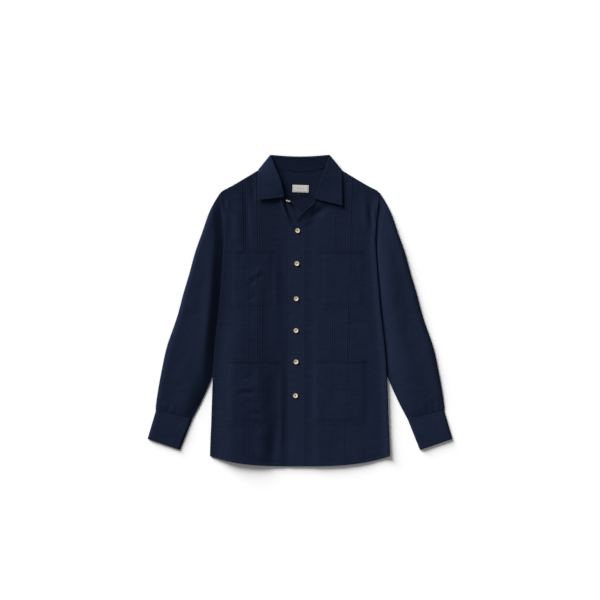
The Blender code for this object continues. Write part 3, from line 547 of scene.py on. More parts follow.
    def pocket(self, inner, outer_low, outer_high, low, high):
        """Upper side of a pocket: the front's own relief one layer up, sewn down at its edges."""
        points = []
        for v in np.linspace(0.0, 1.0, POCKET_ROWS + 1):
            y = mix(low, high, v)
            outer = abs(mix(outer_low, outer_high, v))
            x = self.columns(abs(inner), outer, y, POCKET_COLUMNS)
            y = np.full_like(x, y)
            side = np.minimum(x - abs(inner), outer - x)
            edge = np.minimum(side, y - low)
            rise = smooth(side / POCKET_SIDE) * smooth((y - low) / POCKET_FOOT)
            lift = 0.15 + (LAYER - 0.15) * rise
            lift += 0.15 * smooth((y - low) / 3.0)
            lift += stitch_dip(side - POCKET_STITCH, 0.8, 0.10)
            lift += 0.55 * smooth((y - high) / POCKET_HEM + 1.0)
            lift += stitch_dip(y - (high - POCKET_HEM), 1.1, 0.35)
            lift += 0.28 * ripple(self.sign * x, y, 24.0, 7.7) * smooth(edge / 10.0)
            z = self.top(x, y, TUCK_ON_POCKET) + lift
            points.append(np.stack((self.sign * x, y, z), axis=-1))
        return np.array(points)


LEFT = Front(LEFT_ROWS, LEFT_TUCKS, 1.0, LEFT_SHAPE)
RIGHT = Front(RIGHT_ROWS, RIGHT_TUCKS, -1.0, RIGHT_SHAPE)


def deselect():
    """Operators act on what is selected, so each one starts from nothing."""
    bpy.ops.object.select_all(action="DESELECT")


def activate(piece):
    """Select one piece only and make it the active one."""
    deselect()
    piece.select_set(True)
    bpy.context.view_layer.objects.active = piece


def apply_modifiers(piece):
    """Apply a piece's modifiers in their order."""
    activate(piece)
    for modifier in list(piece.modifiers):
        bpy.ops.object.modifier_apply(modifier=modifier.name)


def cover(piece, material):
    """Make a material the piece's only one."""
    piece.data.materials.clear()
    piece.data.materials.append(material)


def join(pieces):
    """Make several pieces one, which is left as the active object."""
    deselect()
    for piece in pieces:
        piece.select_set(True)
    bpy.context.view_layer.objects.active = pieces[0]
    if len(pieces) > 1:
        bpy.ops.object.join()
    return bpy.context.view_layer.objects.active


def run_along(points, axis):
    """Distance walked from the first line to each point, along one axis of a grid."""
    steps = np.linalg.norm(np.diff(points, axis=axis), axis=2)
    start = np.zeros_like(np.take(steps, [0], axis=axis))
    return np.cumsum(np.concatenate((start, steps), axis=axis), axis=axis)


def cloth_grid(name, points, flat=None):
    """A grid moved to rows of points, with a UV map of the flat cut in metres, and the
    distance of each corner from the piece's edge kept as an attribute."""
    rows, columns = points.shape[0] - 1, points.shape[1] - 1
    deselect()
    bpy.ops.mesh.primitive_grid_add(x_subdivisions=columns, y_subdivisions=rows, size=1.0)
    piece = bpy.context.object
    piece.name = name
    mesh = piece.data
    mesh.name = name
    count = len(mesh.vertices)
    places = np.empty(count * 3)
    mesh.vertices.foreach_get("co", places)
    places = places.reshape(-1, 3)
    column = np.rint((places[:, 0] + 0.5) * columns).astype(int)
    row = np.rint((places[:, 1] + 0.5) * rows).astype(int)
    mesh.vertices.foreach_set("co", (points[row, column] * MM).ravel())
    if flat is None:
        flat = points[..., :2]
    corners = np.empty(len(mesh.loops), dtype=np.int32)
    mesh.loops.foreach_get("vertex_index", corners)
    uv = flat[row, column][corners] * MM
    mesh.uv_layers[0].data.foreach_set("uv", uv.ravel())
    down, across = run_along(points, 0), run_along(points, 1)
    edge = np.minimum(np.minimum(down, down[-1:] - down),
                      np.minimum(across, across[:, -1:] - across))
    border = mesh.attributes.new("border", "FLOAT", "POINT")
    border.data.foreach_set("value", np.ascontiguousarray(edge[row, column] * MM))
    mesh.update()
    return piece


def thicken(piece, thickness, smooth_angle):
    """Close a shell with a wall on the inner side of its shown face."""
    wall = piece.modifiers.new("wall", "SOLIDIFY")
    wall.thickness = thickness * MM
    wall.offset = -1.0
    wall.use_even_offset = False
    apply_modifiers(piece)
    bpy.ops.object.shade_smooth_by_angle(angle=math.radians(smooth_angle))


def make_panel(name, points, thickness=CLOTH, flat=None):
    """A piece of cloth with its shown face up and its wall below it."""
    piece = cloth_grid(name, points, flat)
    if not piece.data.polygons[0].normal.z > 0.0:
        piece.data.flip_normals()
    thicken(piece, thickness, 50.0)
    return piece


def finish_cloth(piece, material, node):
    """Give a piece of cloth its finish and its body, and hide the solid it replaces."""
    cover(piece, material)
    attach(piece, BODY)
    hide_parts(node)


def back_points():
    """The back, flat on the surface and raised over the collar leaf at the neck."""
    across = np.linspace(-1.0, 1.0, BACK_COLUMNS + 1)
    points = []
    for t in np.linspace(0.0, 1.0, BACK_ROWS, endpoint=False):
        x = across * side_x(mix(HEM_Y + HEM_RISE, ARMHOLE_Y, t))
        y = mix(hem_y(x), ARMHOLE_Y, t)
        points.append(np.stack((x, y, np.full_like(x, CLOTH)), axis=-1))
    for t in np.linspace(0.0, 1.0, BACK_ROWS):
        x = across * side_x(mix(ARMHOLE_Y, SHOULDER_TIP[1], t))
        neck = mix(BACK_NECK_Y + 4.5, NECK_POINT[1] + 1.0, (x / NECK_POINT[0]) ** 2)
        top_y = np.where(np.abs(x) < NECK_POINT[0], neck, shoulder_y(x))
        y = mix(ARMHOLE_Y, top_y, t)
        z = back_top(y)
        shown = bump(x, 60.0) * smooth((y - 240.0) / 40.0)
        z += (folds_height(x, y, INNER_FOLDS) + 0.5 * crumple(x, y)) * shown
        z += stitch_dip(top_y - y - NECK_STITCH, 1.1) * smooth((y - 340.0) / 8.0)
        points.append(np.stack((x, y, np.maximum(z, CLOTH)), axis=-1))
    return np.array(points)


def valley_rise(rise, across, beside, ring):
    """The steep bank of a sleeve beside the body, easing into the plain rise by the cuff."""
    bank, extra = RIGHT_VALLEY
    climb = np.sin(0.5 * np.pi * np.clip(beside / bank, 0.0, 1.0)) ** 1.1
    climb *= 1.0 + extra * bump(beside - bank, 14.0)
    climb *= 1.0 - 0.18 * smooth(across - 0.3)
    return mix(climb, rise, smooth((ring - 5.6) / 4.4))


def ring_points(rings, sign, along, inner_ramp, is_sleeve=False, has_valley=False):
    """A flattened tube as rings, over its upper side and back along the surface, and its
    flat cut. A sleeve's inner edge follows the body's side."""
    top_share = 0.5 - 0.5 * np.cos(np.linspace(0.0, np.pi, TUBE_TOP))
    low_share = 0.5 + 0.5 * np.cos(np.linspace(0.0, np.pi, TUBE_LOW))[1:]
    across = np.concatenate([top_share, low_share])
    is_top = np.arange(len(across)) < TUBE_TOP
    points, flats = [], []
    run, before = 0.0, None
    for ring in np.linspace(0.0, len(rings) - 1, along + 1):
        outer_x, outer_y, inner_x, inner_y, height = curve_at(rings, ring)[0]
        if is_sleeve and ring < SEAM_RINGS:
            inner_x = side_x(inner_y) + SLEEVE_AIR
        x = mix(inner_x, outer_x, across)
        y = mix(inner_y, outer_y, across)
        edge_z, ramp = 1.7, inner_ramp
        if is_sleeve:
            if before is None:
                bow = side_x(y) + SLEEVE_AIR - x
            x = x + bow * (1.0 - smooth(ring / BOW_RINGS))
            lofted = 1.0 if has_valley else smooth(0.15 + ring / 1.3)
            height = mix(2.6, height, lofted)
            edge_z = mix(2.5, 1.2, lofted)
            ramp = mix(inner_ramp, SLEEVE_END_RAMP, smooth((ring - 7.0) / 3.0))
        rise = np.sin(0.5 * np.pi * np.clip(across / ramp, 0.0, 1.0)) ** 0.95
        if is_sleeve:
            rise -= 0.25 * smooth((across - ramp) / (1.0 - ramp) * 1.6)
        if has_valley:
            rise = valley_rise(rise, across, x - side_x(y), ring)
        fall = 1.0 - np.clip((across - 0.88) / 0.12, 0.0, 1.0) ** 2
        top = edge_z + (height - edge_z) * rise * np.sqrt(fall)
        world_x = sign * x
        quiet = smooth(across / 0.06) * smooth((1.0 - across) / 0.05)
        top += (folds_height(world_x, y, SLEEVE_FOLDS) + 1.2 * crumple(world_x, y)) * quiet
        if not is_sleeve:
            share = ring / (len(rings) - 1)
            for distance in (share * CUFF_LENGTH, (1.0 - share) * CUFF_LENGTH):
                top += stitch_dip(distance - CUFF_STITCH, 1.2)
                top -= 0.35 * (1.0 - smooth(distance / 1.6))
        middle = smooth(np.minimum(across, 1.0 - across) / 0.03)
        z = np.where(is_top, np.maximum(top, 1.6), mix(edge_z, 0.0, middle))
        points.append(np.stack((world_x, y, z), axis=-1))
        centre = np.array((0.5 * (inner_x + outer_x), 0.5 * (inner_y + outer_y)))
        if before is not None:
            run -= math.dist(centre, before)
        before = centre
        flat_x = (across - 0.5) * math.hypot(outer_x - inner_x, outer_y - inner_y)
        flats.append(np.stack((np.where(is_top, flat_x, flat_x + LOWER_SIDE),
                               np.full_like(flat_x, run)), axis=-1))
    return np.array(points), np.array(flats)


def make_tube(name, points, flats):
    """An open sleeve or cuff whose first and last columns are sewn into one edge."""
    piece = cloth_grid(name, points, flats)
    activate(piece)
    bpy.ops.object.mode_set(mode="EDIT")
    bpy.ops.mesh.select_all(action="SELECT")
    bpy.ops.mesh.remove_doubles(threshold=0.00001)
    bpy.ops.mesh.normals_make_consistent(inside=False)
    bpy.ops.object.mode_set(mode="OBJECT")
    thicken(piece, CLOTH, 60.0)
    return piece


def collar_table():
    """Every collar section from the left point round the neck to the right point."""
    flip = np.array((-1, 1, 1) * 4 + (1,), float)
    left = [np.array(row) for row in COLLAR_LEFT + COLLAR_WRAP]
    right = [np.array(row) * flip for row in COLLAR_RIGHT + COLLAR_WRAP]
    return np.array(left + [np.array(COLLAR_MIDDLE)] + right[::-1])


def collar_rows():
    """The collar's sections, closer together at its two ends, so that its points stay crisp."""
    table = collar_table()
    t = np.linspace(0.0, 1.0, COLLAR_ROWS + 1)
    return curve_at(table, (len(table) - 1) * (t - 0.12 * np.sin(2.0 * np.pi * t) / np.pi))


def leaf_points():
    """Outer side of the leaf from its fold to its edge, row by row round the neck."""
    table = collar_rows()
    steps = np.concatenate((np.linspace(0.0, 1.0, FOLD_COLUMNS + 1),
                            1.0 + np.linspace(0.0, 1.0, LEAF_COLUMNS - FOLD_COLUMNS + 1)[1:]))
    near = np.clip(steps, 0.0, 1.0)
    share = np.clip(steps - 1.0, 0.0, 1.0)
    points, flats = [], []
    run, before = 0.0, table[0][6:8]
    ends = np.cumsum(np.append(0.0, np.hypot(*np.diff(table[:, 6:8], axis=0).T)))
    for index, row in enumerate(table):
        fold, turn, edge = row[0:3], row[3:6], row[6:9]
        point = mix(mix(fold, turn, near[:, None]), edge, share[:, None])
        drop = mix(edge[2], turn[2], (1.0 - share) ** row[12])
        point[:, 2] = np.where(steps > 1.0, drop, point[:, 2] + 0.12 * np.sin(np.pi * near))
        width = math.dist(turn, edge)
        from_edge = (1.0 - share) * width
        from_end = min(ends[index], ends[-1] - ends[index])
        top_side = smooth((row[8] - 3.0) / 2.0)
        inset = np.minimum(from_edge, from_end)
        relief = stitch_dip(inset - LEAF_STITCH, 1.1, 0.16) - 0.35 * (1.0 - smooth(inset / 1.5))
        relief += 0.25 * ripple(point[:, 0], point[:, 1], 22.0, 3.3)
        point[:, 2] = np.maximum(point[:, 2] + relief * top_side, 0.0)
        points.append(point)
        run += math.dist(row[6:8], before)
        before = row[6:8]
        flats.append(np.stack((np.full(len(steps), run), steps * 0.5 * width), axis=-1))
    return np.array(points), np.array(flats)


def stand_points():
    """Inner side of the stand from its seam up to the leaf's fold."""
    share = np.linspace(0.0, 1.0, STAND_COLUMNS + 1)[:, None]
    points = []
    for row in collar_rows():
        seam = row[9:12]
        top = row[0:3] - np.array((0.0, 0.0, STAND_DROP))
        top = top + (seam - top) / np.linalg.norm(seam - top) * STAND_INSET
        line = mix(seam, top, share)
        line[:, 2] += stitch_dip(share[:, 0] * math.dist(seam, top) - STAND_STITCH)
        points.append(line)
    return np.array(points)


def inset_line(points, side, inset, trim=0.0):
    """A line on a grid's surface, inset millimetres from one of its sides."""
    lines = np.swapaxes(points, 0, 1) if side in ("bottom", "top") else points
    if side in ("top", "last"):
        lines = lines[:, ::-1]
    run = run_along(lines, 1)
    path = np.array([[np.interp(inset, run[i], line[:, k]) for k in range(3)]
                     for i, line in enumerate(lines)])
    done = run_along(path[None], 1)[0]
    keep = (done >= trim) & (done <= done[-1] - trim)
    return path[keep]


def seam_guide(path):
    """A curve object along a path in millimetres."""
    curve = bpy.data.curves.new("seam_guide", "CURVE")
    curve.dimensions = "3D"
    spline = curve.splines.new("POLY")
    spline.points.add(len(path) - 1)
    places = np.ones((len(path), 4))
    places[:, :3] = path * MM
    spline.points.foreach_set("co", places.ravel())
    guide = bpy.data.objects.new("seam_guide", curve)
    bpy.context.scene.collection.objects.link(guide)
    return guide


def sew(name, paths, material, pitch=3.2, size=STITCH, lift=0.02):
    """Lines of topstitching: one stitch repeated along each path and laid into it."""
    seams = []
    for path in paths:
        guide = seam_guide(path + np.array((0.0, 0.0, lift)))
        deselect()
        bpy.ops.mesh.primitive_uv_sphere_add(segments=6, ring_count=4, radius=0.5)
        seam = bpy.context.object
        bpy.ops.object.mode_set(mode="EDIT")
        bpy.ops.transform.rotate(value=math.radians(90.0), orient_axis="Y",
                                 center_override=(0.0, 0.0, 0.0))
        bpy.ops.transform.resize(value=tuple(part * MM for part in size))
        bpy.ops.transform.translate(value=(0.5 * pitch * MM, 0.0, 0.0))
        bpy.ops.object.mode_set(mode="OBJECT")
        row = seam.modifiers.new("row", "ARRAY")
        row.fit_type = "FIT_CURVE"
        row.curve = guide
        row.use_relative_offset = False
        row.use_constant_offset = True
        row.constant_offset_displace = (pitch * MM, 0.0, 0.0)
        follow = seam.modifiers.new("follow", "CURVE")
        follow.object = guide
        apply_modifiers(seam)
        bpy.data.objects.remove(guide)
        seams.append(seam)
    piece = join(seams)
    piece.name = name
    piece.data.name = name
    bpy.ops.object.shade_smooth()
    cover(piece, material)
    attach(piece, BODY)


def select_faces(piece, chosen):
    """Select the faces that chosen(centre, normal) picks, in edit mode's face select."""
    activate(piece)
    bpy.ops.object.mode_set(mode="EDIT")
    bpy.context.tool_settings.mesh_select_mode = (False, False, True)
    bpy.ops.mesh.select_all(action="DESELECT")
    shape = bmesh.from_edit_mesh(piece.data)
    for face in shape.faces:
        face.select = chosen(face.calc_center_median(), face.normal)
    bmesh.update_edit_mesh(piece.data)


def button_blank(material):
    """A four-hole button turned with a raised rim, centred on the origin."""
    deselect()
    bpy.ops.mesh.primitive_cylinder_add(vertices=44, radius=BUTTON_RADIUS * MM,
                                        depth=BUTTON_THICKNESS * MM)
    blank = bpy.context.object
    select_faces(blank, lambda centre, normal: normal.z > 0.9)
    for width, depth in BUTTON_INSETS:
        bpy.ops.mesh.inset(thickness=width * MM, depth=depth * MM)
    bpy.ops.object.mode_set(mode="OBJECT")
    select_faces(blank, lambda centre, normal: normal.z < -0.9)
    bpy.ops.transform.resize(value=(0.8, 0.8, 1.0))
    bpy.ops.object.mode_set(mode="OBJECT")
    rounding = blank.modifiers.new("rounding", "BEVEL")
    rounding.width = 0.3 * MM
    rounding.segments = 3
    rounding.limit_method = "ANGLE"
    rounding.angle_limit = math.radians(25.0)
    apply_modifiers(blank)
    drills = []
    for quarter in range(4):
        angle = math.radians(45.0 + 90.0 * quarter)
        deselect()
        bpy.ops.mesh.primitive_cylinder_add(
            vertices=16, radius=DRILL_RADIUS * MM, depth=3.0 * BUTTON_THICKNESS * MM,
            location=(DRILL_REACH * MM * math.cos(angle), DRILL_REACH * MM * math.sin(angle), 0.0))
        drills.append(bpy.context.object)
    for drill in drills:
        cut = blank.modifiers.new("hole", "BOOLEAN")
        cut.operation = "DIFFERENCE"
        cut.object = drill
    apply_modifiers(blank)
    for drill in drills:
        bpy.data.objects.remove(drill)
    activate(blank)
    bpy.ops.object.shade_smooth_by_angle(angle=math.radians(32.0))
    cover(blank, material)
    return blank


def thread_cross(material):
    """The two crossed turns of thread that hold a button, centred like the button."""
    turns = []
    for angle in (45.0, 135.0):
        for beside in (-0.22, 0.22):
            deselect()
            bpy.ops.mesh.primitive_uv_sphere_add(segments=8, ring_count=6, radius=0.5)
            turn = bpy.context.object
            bpy.ops.object.mode_set(mode="EDIT")
            bpy.ops.transform.resize(value=(3.5 * MM, 0.46 * MM, 0.62 * MM))
            bpy.ops.transform.translate(value=(0.0, beside * MM, 0.52 * MM))
            bpy.ops.transform.rotate(value=math.radians(angle), orient_axis="Z",
                                     center_override=(0.0, 0.0, 0.0))
            bpy.ops.object.mode_set(mode="OBJECT")
            turns.append(turn)
    cross = join(turns)
    bpy.ops.object.shade_smooth()
    cover(cross, material)
    return cross


def place_copy(source, name, place):
    """A copy of a modelled piece with its place in its own mesh."""
    piece = source.copy()
    piece.data = source.data.copy()
    piece.name = name
    piece.data.name = name
    bpy.context.scene.collection.objects.link(piece)
    piece.data.transform(place)
    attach(piece, BODY)
    return piece


def make_buttons(button_finish, thread_finish):
    """Seven sewn-on buttons where the solids are, the open top one tilted up."""
    blank = button_blank(button_finish)
    cross = thread_cross(thread_finish)
    for number in range(1, 8):
        node = "button_%d" % number
        low, high = (Vector(corner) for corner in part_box(node))
        centre = 0.5 * (low + high)
        place = Matrix.Rotation(math.radians(BUTTON_TURNS[number - 1]), 4, "Z")
        if number == 1:
            centre.z += TOP_BUTTON_RISE * MM
            tilt = Matrix.Rotation(math.radians(-TOP_BUTTON_TILT), 4, Vector(TOP_BUTTON_AXIS))
            place = tilt @ place
        place = Matrix.Translation(centre) @ place
        button = place_copy(blank, "button_%d_turned" % number, place)
        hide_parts(node)
        cross_copy = place_copy(cross, "button_%d_thread" % number, place)
    bpy.data.objects.remove(blank)
    bpy.data.objects.remove(cross)


def make_label(material):
    """The woven label, pressed down by its own stitches along its edge."""
    columns, rows = 66, 32
    across, up = np.meshgrid(np.linspace(-0.5, 0.5, columns + 1),
                             np.linspace(-0.5, 0.5, rows + 1))
    flat = np.stack((across * LABEL_SIZE[0], up * LABEL_SIZE[1]), axis=-1)
    edge = np.minimum((0.5 - np.abs(across)) * LABEL_SIZE[0], (0.5 - np.abs(up)) * LABEL_SIZE[1])
    z = LABEL_HEIGHT + 0.35 * smooth(edge / 3.0)
    z += 0.10 * ripple(flat[..., 0], flat[..., 1], 9.0, 2.2)
    turn = math.radians(LABEL_TURN)
    x = LABEL_CENTRE[0] + flat[..., 0] * math.cos(turn) - flat[..., 1] * math.sin(turn)
    y = LABEL_CENTRE[1] + flat[..., 0] * math.sin(turn) + flat[..., 1] * math.cos(turn)
    points = np.stack((x, y, z), axis=-1)
    piece = make_panel("neck_label_woven", points, LABEL_CLOTH, flat)
    cover(piece, material)
    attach(piece, BODY)
    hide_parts("neck_label")
    return [inset_line(points, side, LABEL_STITCH, LABEL_STITCH)
            for side in ("bottom", "top", "first", "last")]


def make_group(name, inputs, outputs):
    """An empty shader node group with its sockets and the nodes that hold them."""
    group = bpy.data.node_groups.new(name, "ShaderNodeTree")
    for label, kind, value in inputs:
        socket = group.interface.new_socket(name=label, in_out="INPUT", socket_type=kind)
        if value is not None:
            socket.default_value = value
    for label, kind in outputs:
        group.interface.new_socket(name=label, in_out="OUTPUT", socket_type=kind)
    return group, group.nodes.new("NodeGroupInput"), group.nodes.new("NodeGroupOutput")


def math_node(tree, operation, first, second=None, clamp=False):
    """A Math node fed by sockets or numbers."""
    node = tree.nodes.new("ShaderNodeMath")
    node.operation = operation
    node.use_clamp = clamp
    for index, value in enumerate((first, second)):
        if value is None:
            continue
        if isinstance(value, (int, float)):
            node.inputs[index].default_value = value
        else:
            tree.links.new(value, node.inputs[index])
    return node.outputs[0]


def noise_node(tree, vector, scale, detail=2.0):
    """Noise from 0 to 1, scale features to a metre."""
    node = tree.nodes.new("ShaderNodeTexNoise")
    node.inputs["Scale"].default_value = scale
    node.inputs["Detail"].default_value = detail
    tree.links.new(vector, node.inputs["Vector"])
    return node.outputs["Fac"]


def stretched(tree, vector, scale):
    """Coordinates multiplied by a scale on each axis, for noise longer one way."""
    node = tree.nodes.new("ShaderNodeMapping")
    node.inputs["Scale"].default_value = scale
    tree.links.new(vector, node.inputs["Vector"])
    return node.outputs["Vector"]


def ranged(tree, value, low, high, to_low, to_high):
    """A value moved from the range low to high to the range to_low to to_high."""
    node = tree.nodes.new("ShaderNodeMapRange")
    node.inputs["From Min"].default_value = low
    node.inputs["From Max"].default_value = high
    node.inputs["To Min"].default_value = to_low
    node.inputs["To Max"].default_value = to_high
    tree.links.new(value, node.inputs["Value"])
    return node.outputs["Result"]


def weave_group():
    """Plain weave: threads over and under each other, a little uneven, from a flat map."""
    group, given, result = make_group(
        "plain_weave",
        (("Vector", "NodeSocketVector", None),
         ("Threads per metre", "NodeSocketFloat", LINEN_THREADS)),
        (("Height", "NodeSocketFloat"), ("Over", "NodeSocketFloat")))
    flat = given.outputs["Vector"]
    wander = math_node(group, "MULTIPLY", noise_node(group, flat, 160.0, 1.0), 0.0011)
    split = group.nodes.new("ShaderNodeSeparateXYZ")
    group.links.new(flat, split.inputs[0])
    sines = []
    for axis in ("X", "Y"):
        place = math_node(group, "ADD", split.outputs[axis], wander)
        turns = math_node(group, "MULTIPLY", place, given.outputs["Threads per metre"])
        angle = math_node(group, "MULTIPLY", turns, math.pi)
        sines.append(math_node(group, "SINE", angle))
    checker = math_node(group, "MULTIPLY", sines[0], sines[1])
    over = math_node(group, "MULTIPLY_ADD", checker, 0.5)
    over.node.inputs[2].default_value = 0.5
    under = math_node(group, "SUBTRACT", 1.0, over)
    warp = math_node(group, "MULTIPLY", math_node(group, "ABSOLUTE", sines[0]), over)
    weft = math_node(group, "MULTIPLY", math_node(group, "ABSOLUTE", sines[1]), under)
    group.links.new(math_node(group, "MAXIMUM", warp, weft), result.inputs["Height"])
    group.links.new(over, result.inputs["Over"])
    return group


def slub_group():
    """Thick places in the yarn: short streaks, most of them along the weft."""
    group, given, result = make_group(
        "linen_slubs", (("Vector", "NodeSocketVector", None), ("Amount", "NodeSocketFloat", 1.0)),
        (("Streaks", "NodeSocketFloat"), ("Height", "NodeSocketFloat")))
    flat = given.outputs["Vector"]
    weft = noise_node(group, stretched(group, flat, (22.0, 420.0, 1.0)), 1.0, 2.0)
    fine = noise_node(group, stretched(group, flat, (60.0, 1100.0, 1.0)), 1.0, 1.0)
    warp = noise_node(group, stretched(group, flat, (520.0, 14.0, 1.0)), 1.0, 2.0)
    streaks = math_node(group, "ADD", ranged(group, weft, 0.35, 0.70, -1.0, 1.0),
                        ranged(group, warp, 0.35, 0.70, -0.35, 0.35))
    streaks = math_node(group, "ADD", streaks, ranged(group, fine, 0.3, 0.75, -0.5, 0.5))
    group.links.new(math_node(group, "MULTIPLY", streaks, given.outputs["Amount"]),
                    result.inputs["Streaks"])
    group.links.new(ranged(group, weft, 0.56, 0.74, 0.0, 1.0), result.inputs["Height"])
    return group


def wear_group():
    """Paler, slightly polished cloth along folded edges, broken up unevenly."""
    group, given, result = make_group(
        "edge_wear", (("Border", "NodeSocketFloat", 1.0), ("Reach", "NodeSocketFloat", WEAR_REACH),
                      ("Vector", "NodeSocketVector", None)),
        (("Wear", "NodeSocketFloat"), ("Pucker", "NodeSocketFloat")))
    share = math_node(group, "DIVIDE", given.outputs["Border"], given.outputs["Reach"])
    near = math_node(group, "SUBTRACT", 1.0, share, clamp=True)
    patches = noise_node(group, given.outputs["Vector"], 90.0, 3.0)
    patchy = ranged(group, patches, 0.3, 0.7, 0.2, 1.0)
    group.links.new(math_node(group, "MULTIPLY", near, patchy), result.inputs["Wear"])
    wide = math_node(group, "DIVIDE", share, 3.5)
    band = math_node(group, "SUBTRACT", 1.0, wide, clamp=True)
    gathers = noise_node(group, given.outputs["Vector"], 210.0, 1.0)
    group.links.new(math_node(group, "MULTIPLY", band, gathers), result.inputs["Pucker"])
    return group


def place_group(tree, group, **values):
    """A node group in a material, with its inputs set or linked by name."""
    node = tree.nodes.new("ShaderNodeGroup")
    node.node_tree = group
    for label, value in values.items():
        socket = node.inputs[label.replace("_", " ")]
        if isinstance(value, (int, float)):
            socket.default_value = value
        else:
            tree.links.new(value, socket)
    return node


def new_material(name, roughness):
    """A material, its node tree and its shader."""
    material = bpy.data.materials.new(name)
    material.use_nodes = True
    shader = material.node_tree.nodes["Principled BSDF"]
    shader.inputs["Roughness"].default_value = roughness
    return material, material.node_tree, shader


def colour_mix(tree, share, first, second):
    """Mix of two colours by a share, given as sockets or tuples."""
    node = tree.nodes.new("ShaderNodeMix")
    node.data_type = "RGBA"
    for index, value in ((0, share), (6, first), (7, second)):
        socket = node.inputs[index]
        if isinstance(value, (int, float)):
            socket.default_value = value
        elif isinstance(value, tuple):
            socket.default_value = (*value, 1.0)
        else:
            tree.links.new(value, socket)
    return node.outputs[2]


def bump_chain(tree, shader, layers):
    """Bump nodes one after another, each with its height, strength and depth."""
    normal = None
    for height, strength, depth in layers:
        node = tree.nodes.new("ShaderNodeBump")
        node.inputs["Strength"].default_value = strength
        node.inputs["Distance"].default_value = depth * MM
        tree.links.new(height, node.inputs["Height"])
        if normal is not None:
            tree.links.new(normal, node.inputs["Normal"])
        normal = node.outputs["Normal"]
    tree.links.new(normal, shader.inputs["Normal"])


def tint(colour, factor):
    """The colour made darker or paler."""
    return tuple(part * factor for part in colour)


def linen_material(name, colour, groups):
    """Navy linen: plain weave, slubs, uneven dye and paler worn edges."""
    material, tree, shader = new_material(name, 0.88)
    shader.inputs["Specular IOR Level"].default_value = LINEN_GLOSS
    flat = tree.nodes.new("ShaderNodeUVMap").outputs["UV"]
    place = tree.nodes.new("ShaderNodeTexCoord").outputs["Object"]
    border = tree.nodes.new("ShaderNodeAttribute")
    border.attribute_name = "border"
    weave = place_group(tree, groups["weave"], Vector=flat, Threads_per_metre=LINEN_THREADS)
    slubs = place_group(tree, groups["slubs"], Vector=flat, Amount=1.0)
    wear = place_group(tree, groups["wear"], Border=border.outputs["Fac"], Reach=WEAR_REACH,
                       Vector=place)
    streaks = ranged(tree, slubs.outputs["Streaks"], -1.0, 1.0, 0.0, 1.0)
    base = colour_mix(tree, streaks, tint(colour, 0.72), tint(colour, 1.26))
    cloudy = ranged(tree, noise_node(tree, place, 9.0, 3.0), 0.3, 0.7, 0.0, 1.0)
    clouded = colour_mix(tree, cloudy, tint(colour, 0.90), tint(colour, 1.08))
    dyed = colour_mix(tree, 0.35, base, clouded)
    threads = ranged(tree, weave.outputs["Height"], 0.1, 0.9, 0.0, 1.0)
    shaded = colour_mix(tree, threads, tint(colour, 0.72), dyed)
    worn = colour_mix(tree, math_node(tree, "MULTIPLY", wear.outputs["Wear"], 0.2), shaded,
                      tint(colour, 1.55))
    tree.links.new(worn, shader.inputs["Base Color"])
    rough = ranged(tree, slubs.outputs["Streaks"], -1.0, 1.0, 0.92, 0.84)
    tree.links.new(rough, shader.inputs["Roughness"])
    crease = noise_node(tree, place, 55.0, 4.0)
    bump_chain(tree, shader, (
        (crease, 0.30, 1.2), (slubs.outputs["Height"], 0.35, 0.25),
        (wear.outputs["Pucker"], 0.45, 0.9), (weave.outputs["Height"], 0.40, 0.16)))
    return material


def thread_material(name, colour):
    """Sewing thread: a fine twist and a soft shine."""
    material, tree, shader = new_material(name, 0.6)
    shader.inputs["Specular IOR Level"].default_value = THREAD_GLOSS
    place = tree.nodes.new("ShaderNodeTexCoord").outputs["Object"]
    twist = noise_node(tree, stretched(tree, place, (1900.0, 2600.0, 1.0)), 1.0, 1.0)
    share = ranged(tree, twist, 0.35, 0.65, 0.0, 1.0)
    tree.links.new(colour_mix(tree, share, tint(colour, 0.75), tint(colour, 1.25)),
                   shader.inputs["Base Color"])
    bump_chain(tree, shader, ((twist, 0.5, 0.2),))
    return material


def button_material(name):
    """Cream shell: cloudy bands under a polished face, with a few darker growth lines."""
    material, tree, shader = new_material(name, 0.3)
    shader.inputs["Coat Weight"].default_value = 0.25
    place = tree.nodes.new("ShaderNodeTexCoord").outputs["Object"]
    cloud = ranged(tree, noise_node(tree, place, 210.0, 4.0), 0.35, 0.68, 0.0, 1.0)
    base = colour_mix(tree, cloud, SHELL_DEEP, SHELL_PALE)
    bands = tree.nodes.new("ShaderNodeTexWave")
    bands.inputs["Scale"].default_value = 190.0
    bands.inputs["Distortion"].default_value = 7.0
    bands.inputs["Detail"].default_value = 3.0
    tree.links.new(place, bands.inputs["Vector"])
    lines = ranged(tree, bands.outputs["Fac"], 0.55, 1.0, 0.0, 0.30)
    tree.links.new(colour_mix(tree, lines, base, SHELL_LINE), shader.inputs["Base Color"])
    tree.links.new(ranged(tree, cloud, 0.0, 1.0, 0.36, 0.24), shader.inputs["Roughness"])
    bump_chain(tree, shader, ((cloud, 0.12, 0.1),))
    return material


